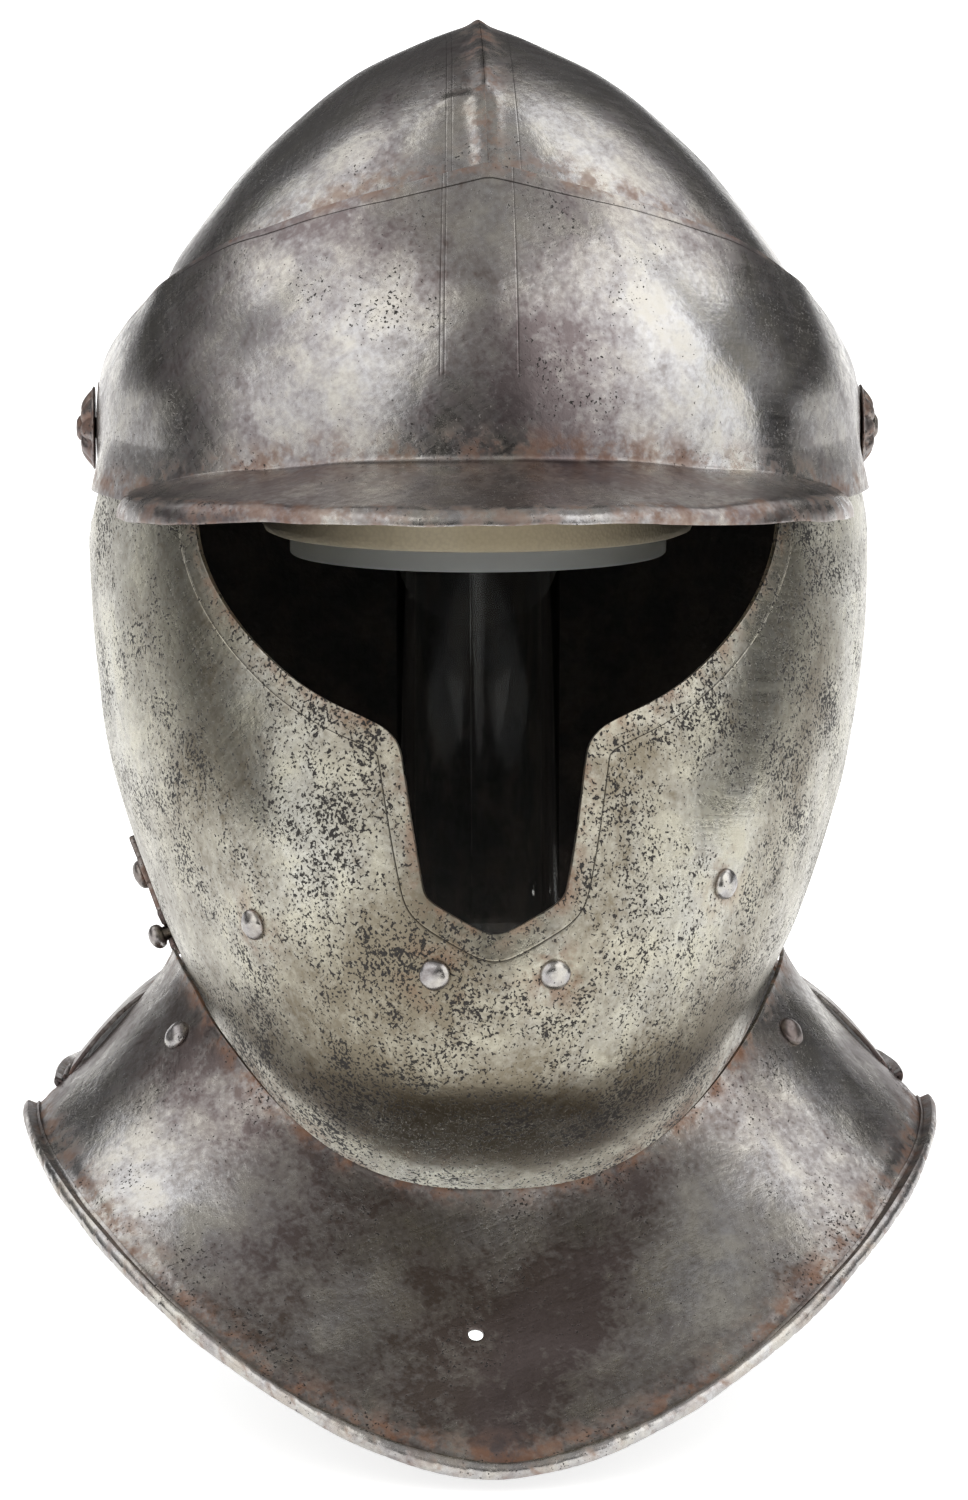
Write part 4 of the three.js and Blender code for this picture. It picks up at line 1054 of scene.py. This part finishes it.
# Floor with a curved rise behind, soft lights and the camera
studio = {
    "floorHalf": 1.2, "nearEdge": -1.1, "bendAt": 1.3, "bendRadius": 0.5, "height": 0.52,
    "floorTone": (0.86, 0.86, 0.855, 1), "fibreTone": (0.84, 0.84, 0.835, 1), "floorGlow": 0.75,
    "dark": (0.045, 0.044, 0.045, 1), "dim": (0.5, 0.49, 0.48, 1), "dimFrom": (0.08, 0.5),
    "pale": (1.0, 1.0, 1.0, 1), "paleFrom": (0.3, 0.55), "paleUpTo": (0.0, 0.18),
    "lights": [  # name, place, aimed at, width, height, power
        ("left_panel", (-1.25, -1.15, 0.9), (0.2, -0.6, 0.5), 1.9, 2.3, 16.5),
        ("right_panel", (1.25, -1.15, 0.9), (-0.2, -0.6, 0.5), 1.9, 2.3, 20),
        ("upper_left_panel", (-1.15, 0.55, 1.6), (0, 0, 0.25), 1.4, 1.1, 5.5),
        ("upper_right_panel", (1.15, 0.55, 1.6), (0, 0, 0.25), 1.4, 1.1, 6.5),
    ],
}
camera = {
    "distance": 1.7, "turn": -1.8, "height": 0.418, "aimHeight": 0.173, "lens": 142.8, "sensor": 36,
    "shiftX": 0.004, "shiftY": 0.0033,
}

paper, paperTree, paperShader, paperAt = newFinish("pale_paper")
fibre = cloud(paperTree, paperAt, 260, 4, 0.6)
paperTone = blendColour(paperTree, window(paperTree, fibre, 0.4, 0.6), studio["floorTone"], studio["fibreTone"])
paperTree.links.new(paperTone, paperShader.inputs["Base Color"])
paperShader.inputs["Roughness"].default_value = 0.9
paperShader.inputs["Emission Color"].default_value = (1, 1, 1, 1)
paperShader.inputs["Emission Strength"].default_value = studio["floorGlow"]
floorMesh = bmesh.new()
profile = [(studio["nearEdge"], 0), (studio["bendAt"], 0)]
for k in spread(0.1, math.pi / 2, 12):
    profile.append((studio["bendAt"] + studio["bendRadius"] * math.sin(k), studio["bendRadius"] * (1 - math.cos(k))))
profile.append((studio["bendAt"] + studio["bendRadius"], studio["height"]))
line = [floorMesh.verts.new((-studio["floorHalf"], y, z)) for y, z in profile]
lineEdges = [floorMesh.edges.new(pair) for pair in zip(line, line[1:])]
swept = bmesh.ops.extrude_edge_only(floorMesh, edges=lineEdges)["geom"]
bmesh.ops.translate(floorMesh, verts=[item for item in swept if isinstance(item, bmesh.types.BMVert)],
                    vec=(studio["floorHalf"] * 2, 0, 0))
bmesh.ops.recalc_face_normals(floorMesh, faces=floorMesh.faces)
sheet = bpy.data.meshes.new("floor_sheet")
floorMesh.to_mesh(sheet)
floorMesh.free()
for polygon in sheet.polygons:
    polygon.use_smooth = True
sheet.materials.append(paper)
floor = bpy.data.objects.new("floor_sheet", sheet)
bpy.context.scene.collection.objects.link(floor)

for name, spot, aim, wide, tall, power in studio["lights"]:
    data = bpy.data.lights.new(name, "AREA")
    data.shape = "RECTANGLE"
    data.size, data.size_y, data.energy = wide, tall, power
    lamp = bpy.data.objects.new(name, data)
    lamp.location = spot
    lamp.rotation_euler = (Vector(aim) - Vector(spot)).to_track_quat("-Z", "Y").to_euler()
    bpy.context.scene.collection.objects.link(lamp)

world = bpy.data.worlds.new("studio_world")
world.use_nodes = True
worldTree = world.node_tree
background = worldTree.nodes["Background"]
way = addNode(worldTree, "SeparateXYZ", {0: addNode(worldTree, "TexCoord").outputs["Generated"]})
behind = window(worldTree, way.outputs["Y"], *studio["paleFrom"])  # white low behind, dim above, dark in front
behind = calc(worldTree, "MULTIPLY", behind, window(worldTree, way.outputs["Z"], *studio["paleUpTo"], 1.0, 0.0))
above = calc(worldTree, "MULTIPLY", window(worldTree, way.outputs["Z"], *studio["dimFrom"]),
             window(worldTree, way.outputs["Y"], *studio["paleFrom"], 1.0, 0.15))
room = blendColour(worldTree, above, studio["dark"], studio["dim"])
seen = addNode(worldTree, "LightPath").outputs["Is Camera Ray"]
share = calc(worldTree, "MAXIMUM", behind, seen, True)
worldTree.links.new(blendColour(worldTree, share, room, studio["pale"]), background.inputs["Color"])
bpy.context.scene.world = world
bpy.context.scene.view_settings.view_transform = "Standard"

lens = bpy.data.cameras.new("front_camera")
lens.lens, lens.sensor_width, lens.sensor_fit = camera["lens"], camera["sensor"], "AUTO"
lens.shift_x, lens.shift_y = camera["shiftX"], camera["shiftY"]
lens.clip_end = 20
viewer = bpy.data.objects.new("front_camera", lens)
turn = math.radians(camera["turn"])
viewer.location = (camera["distance"] * math.sin(turn), -camera["distance"] * math.cos(turn), camera["height"])
viewer.rotation_euler = (Vector((0, 0, camera["aimHeight"])) - viewer.location).to_track_quat("-Z", "Y").to_euler()
bpy.context.scene.collection.objects.link(viewer)
bpy.context.scene.camera = viewer
print("stage, lights and camera set")
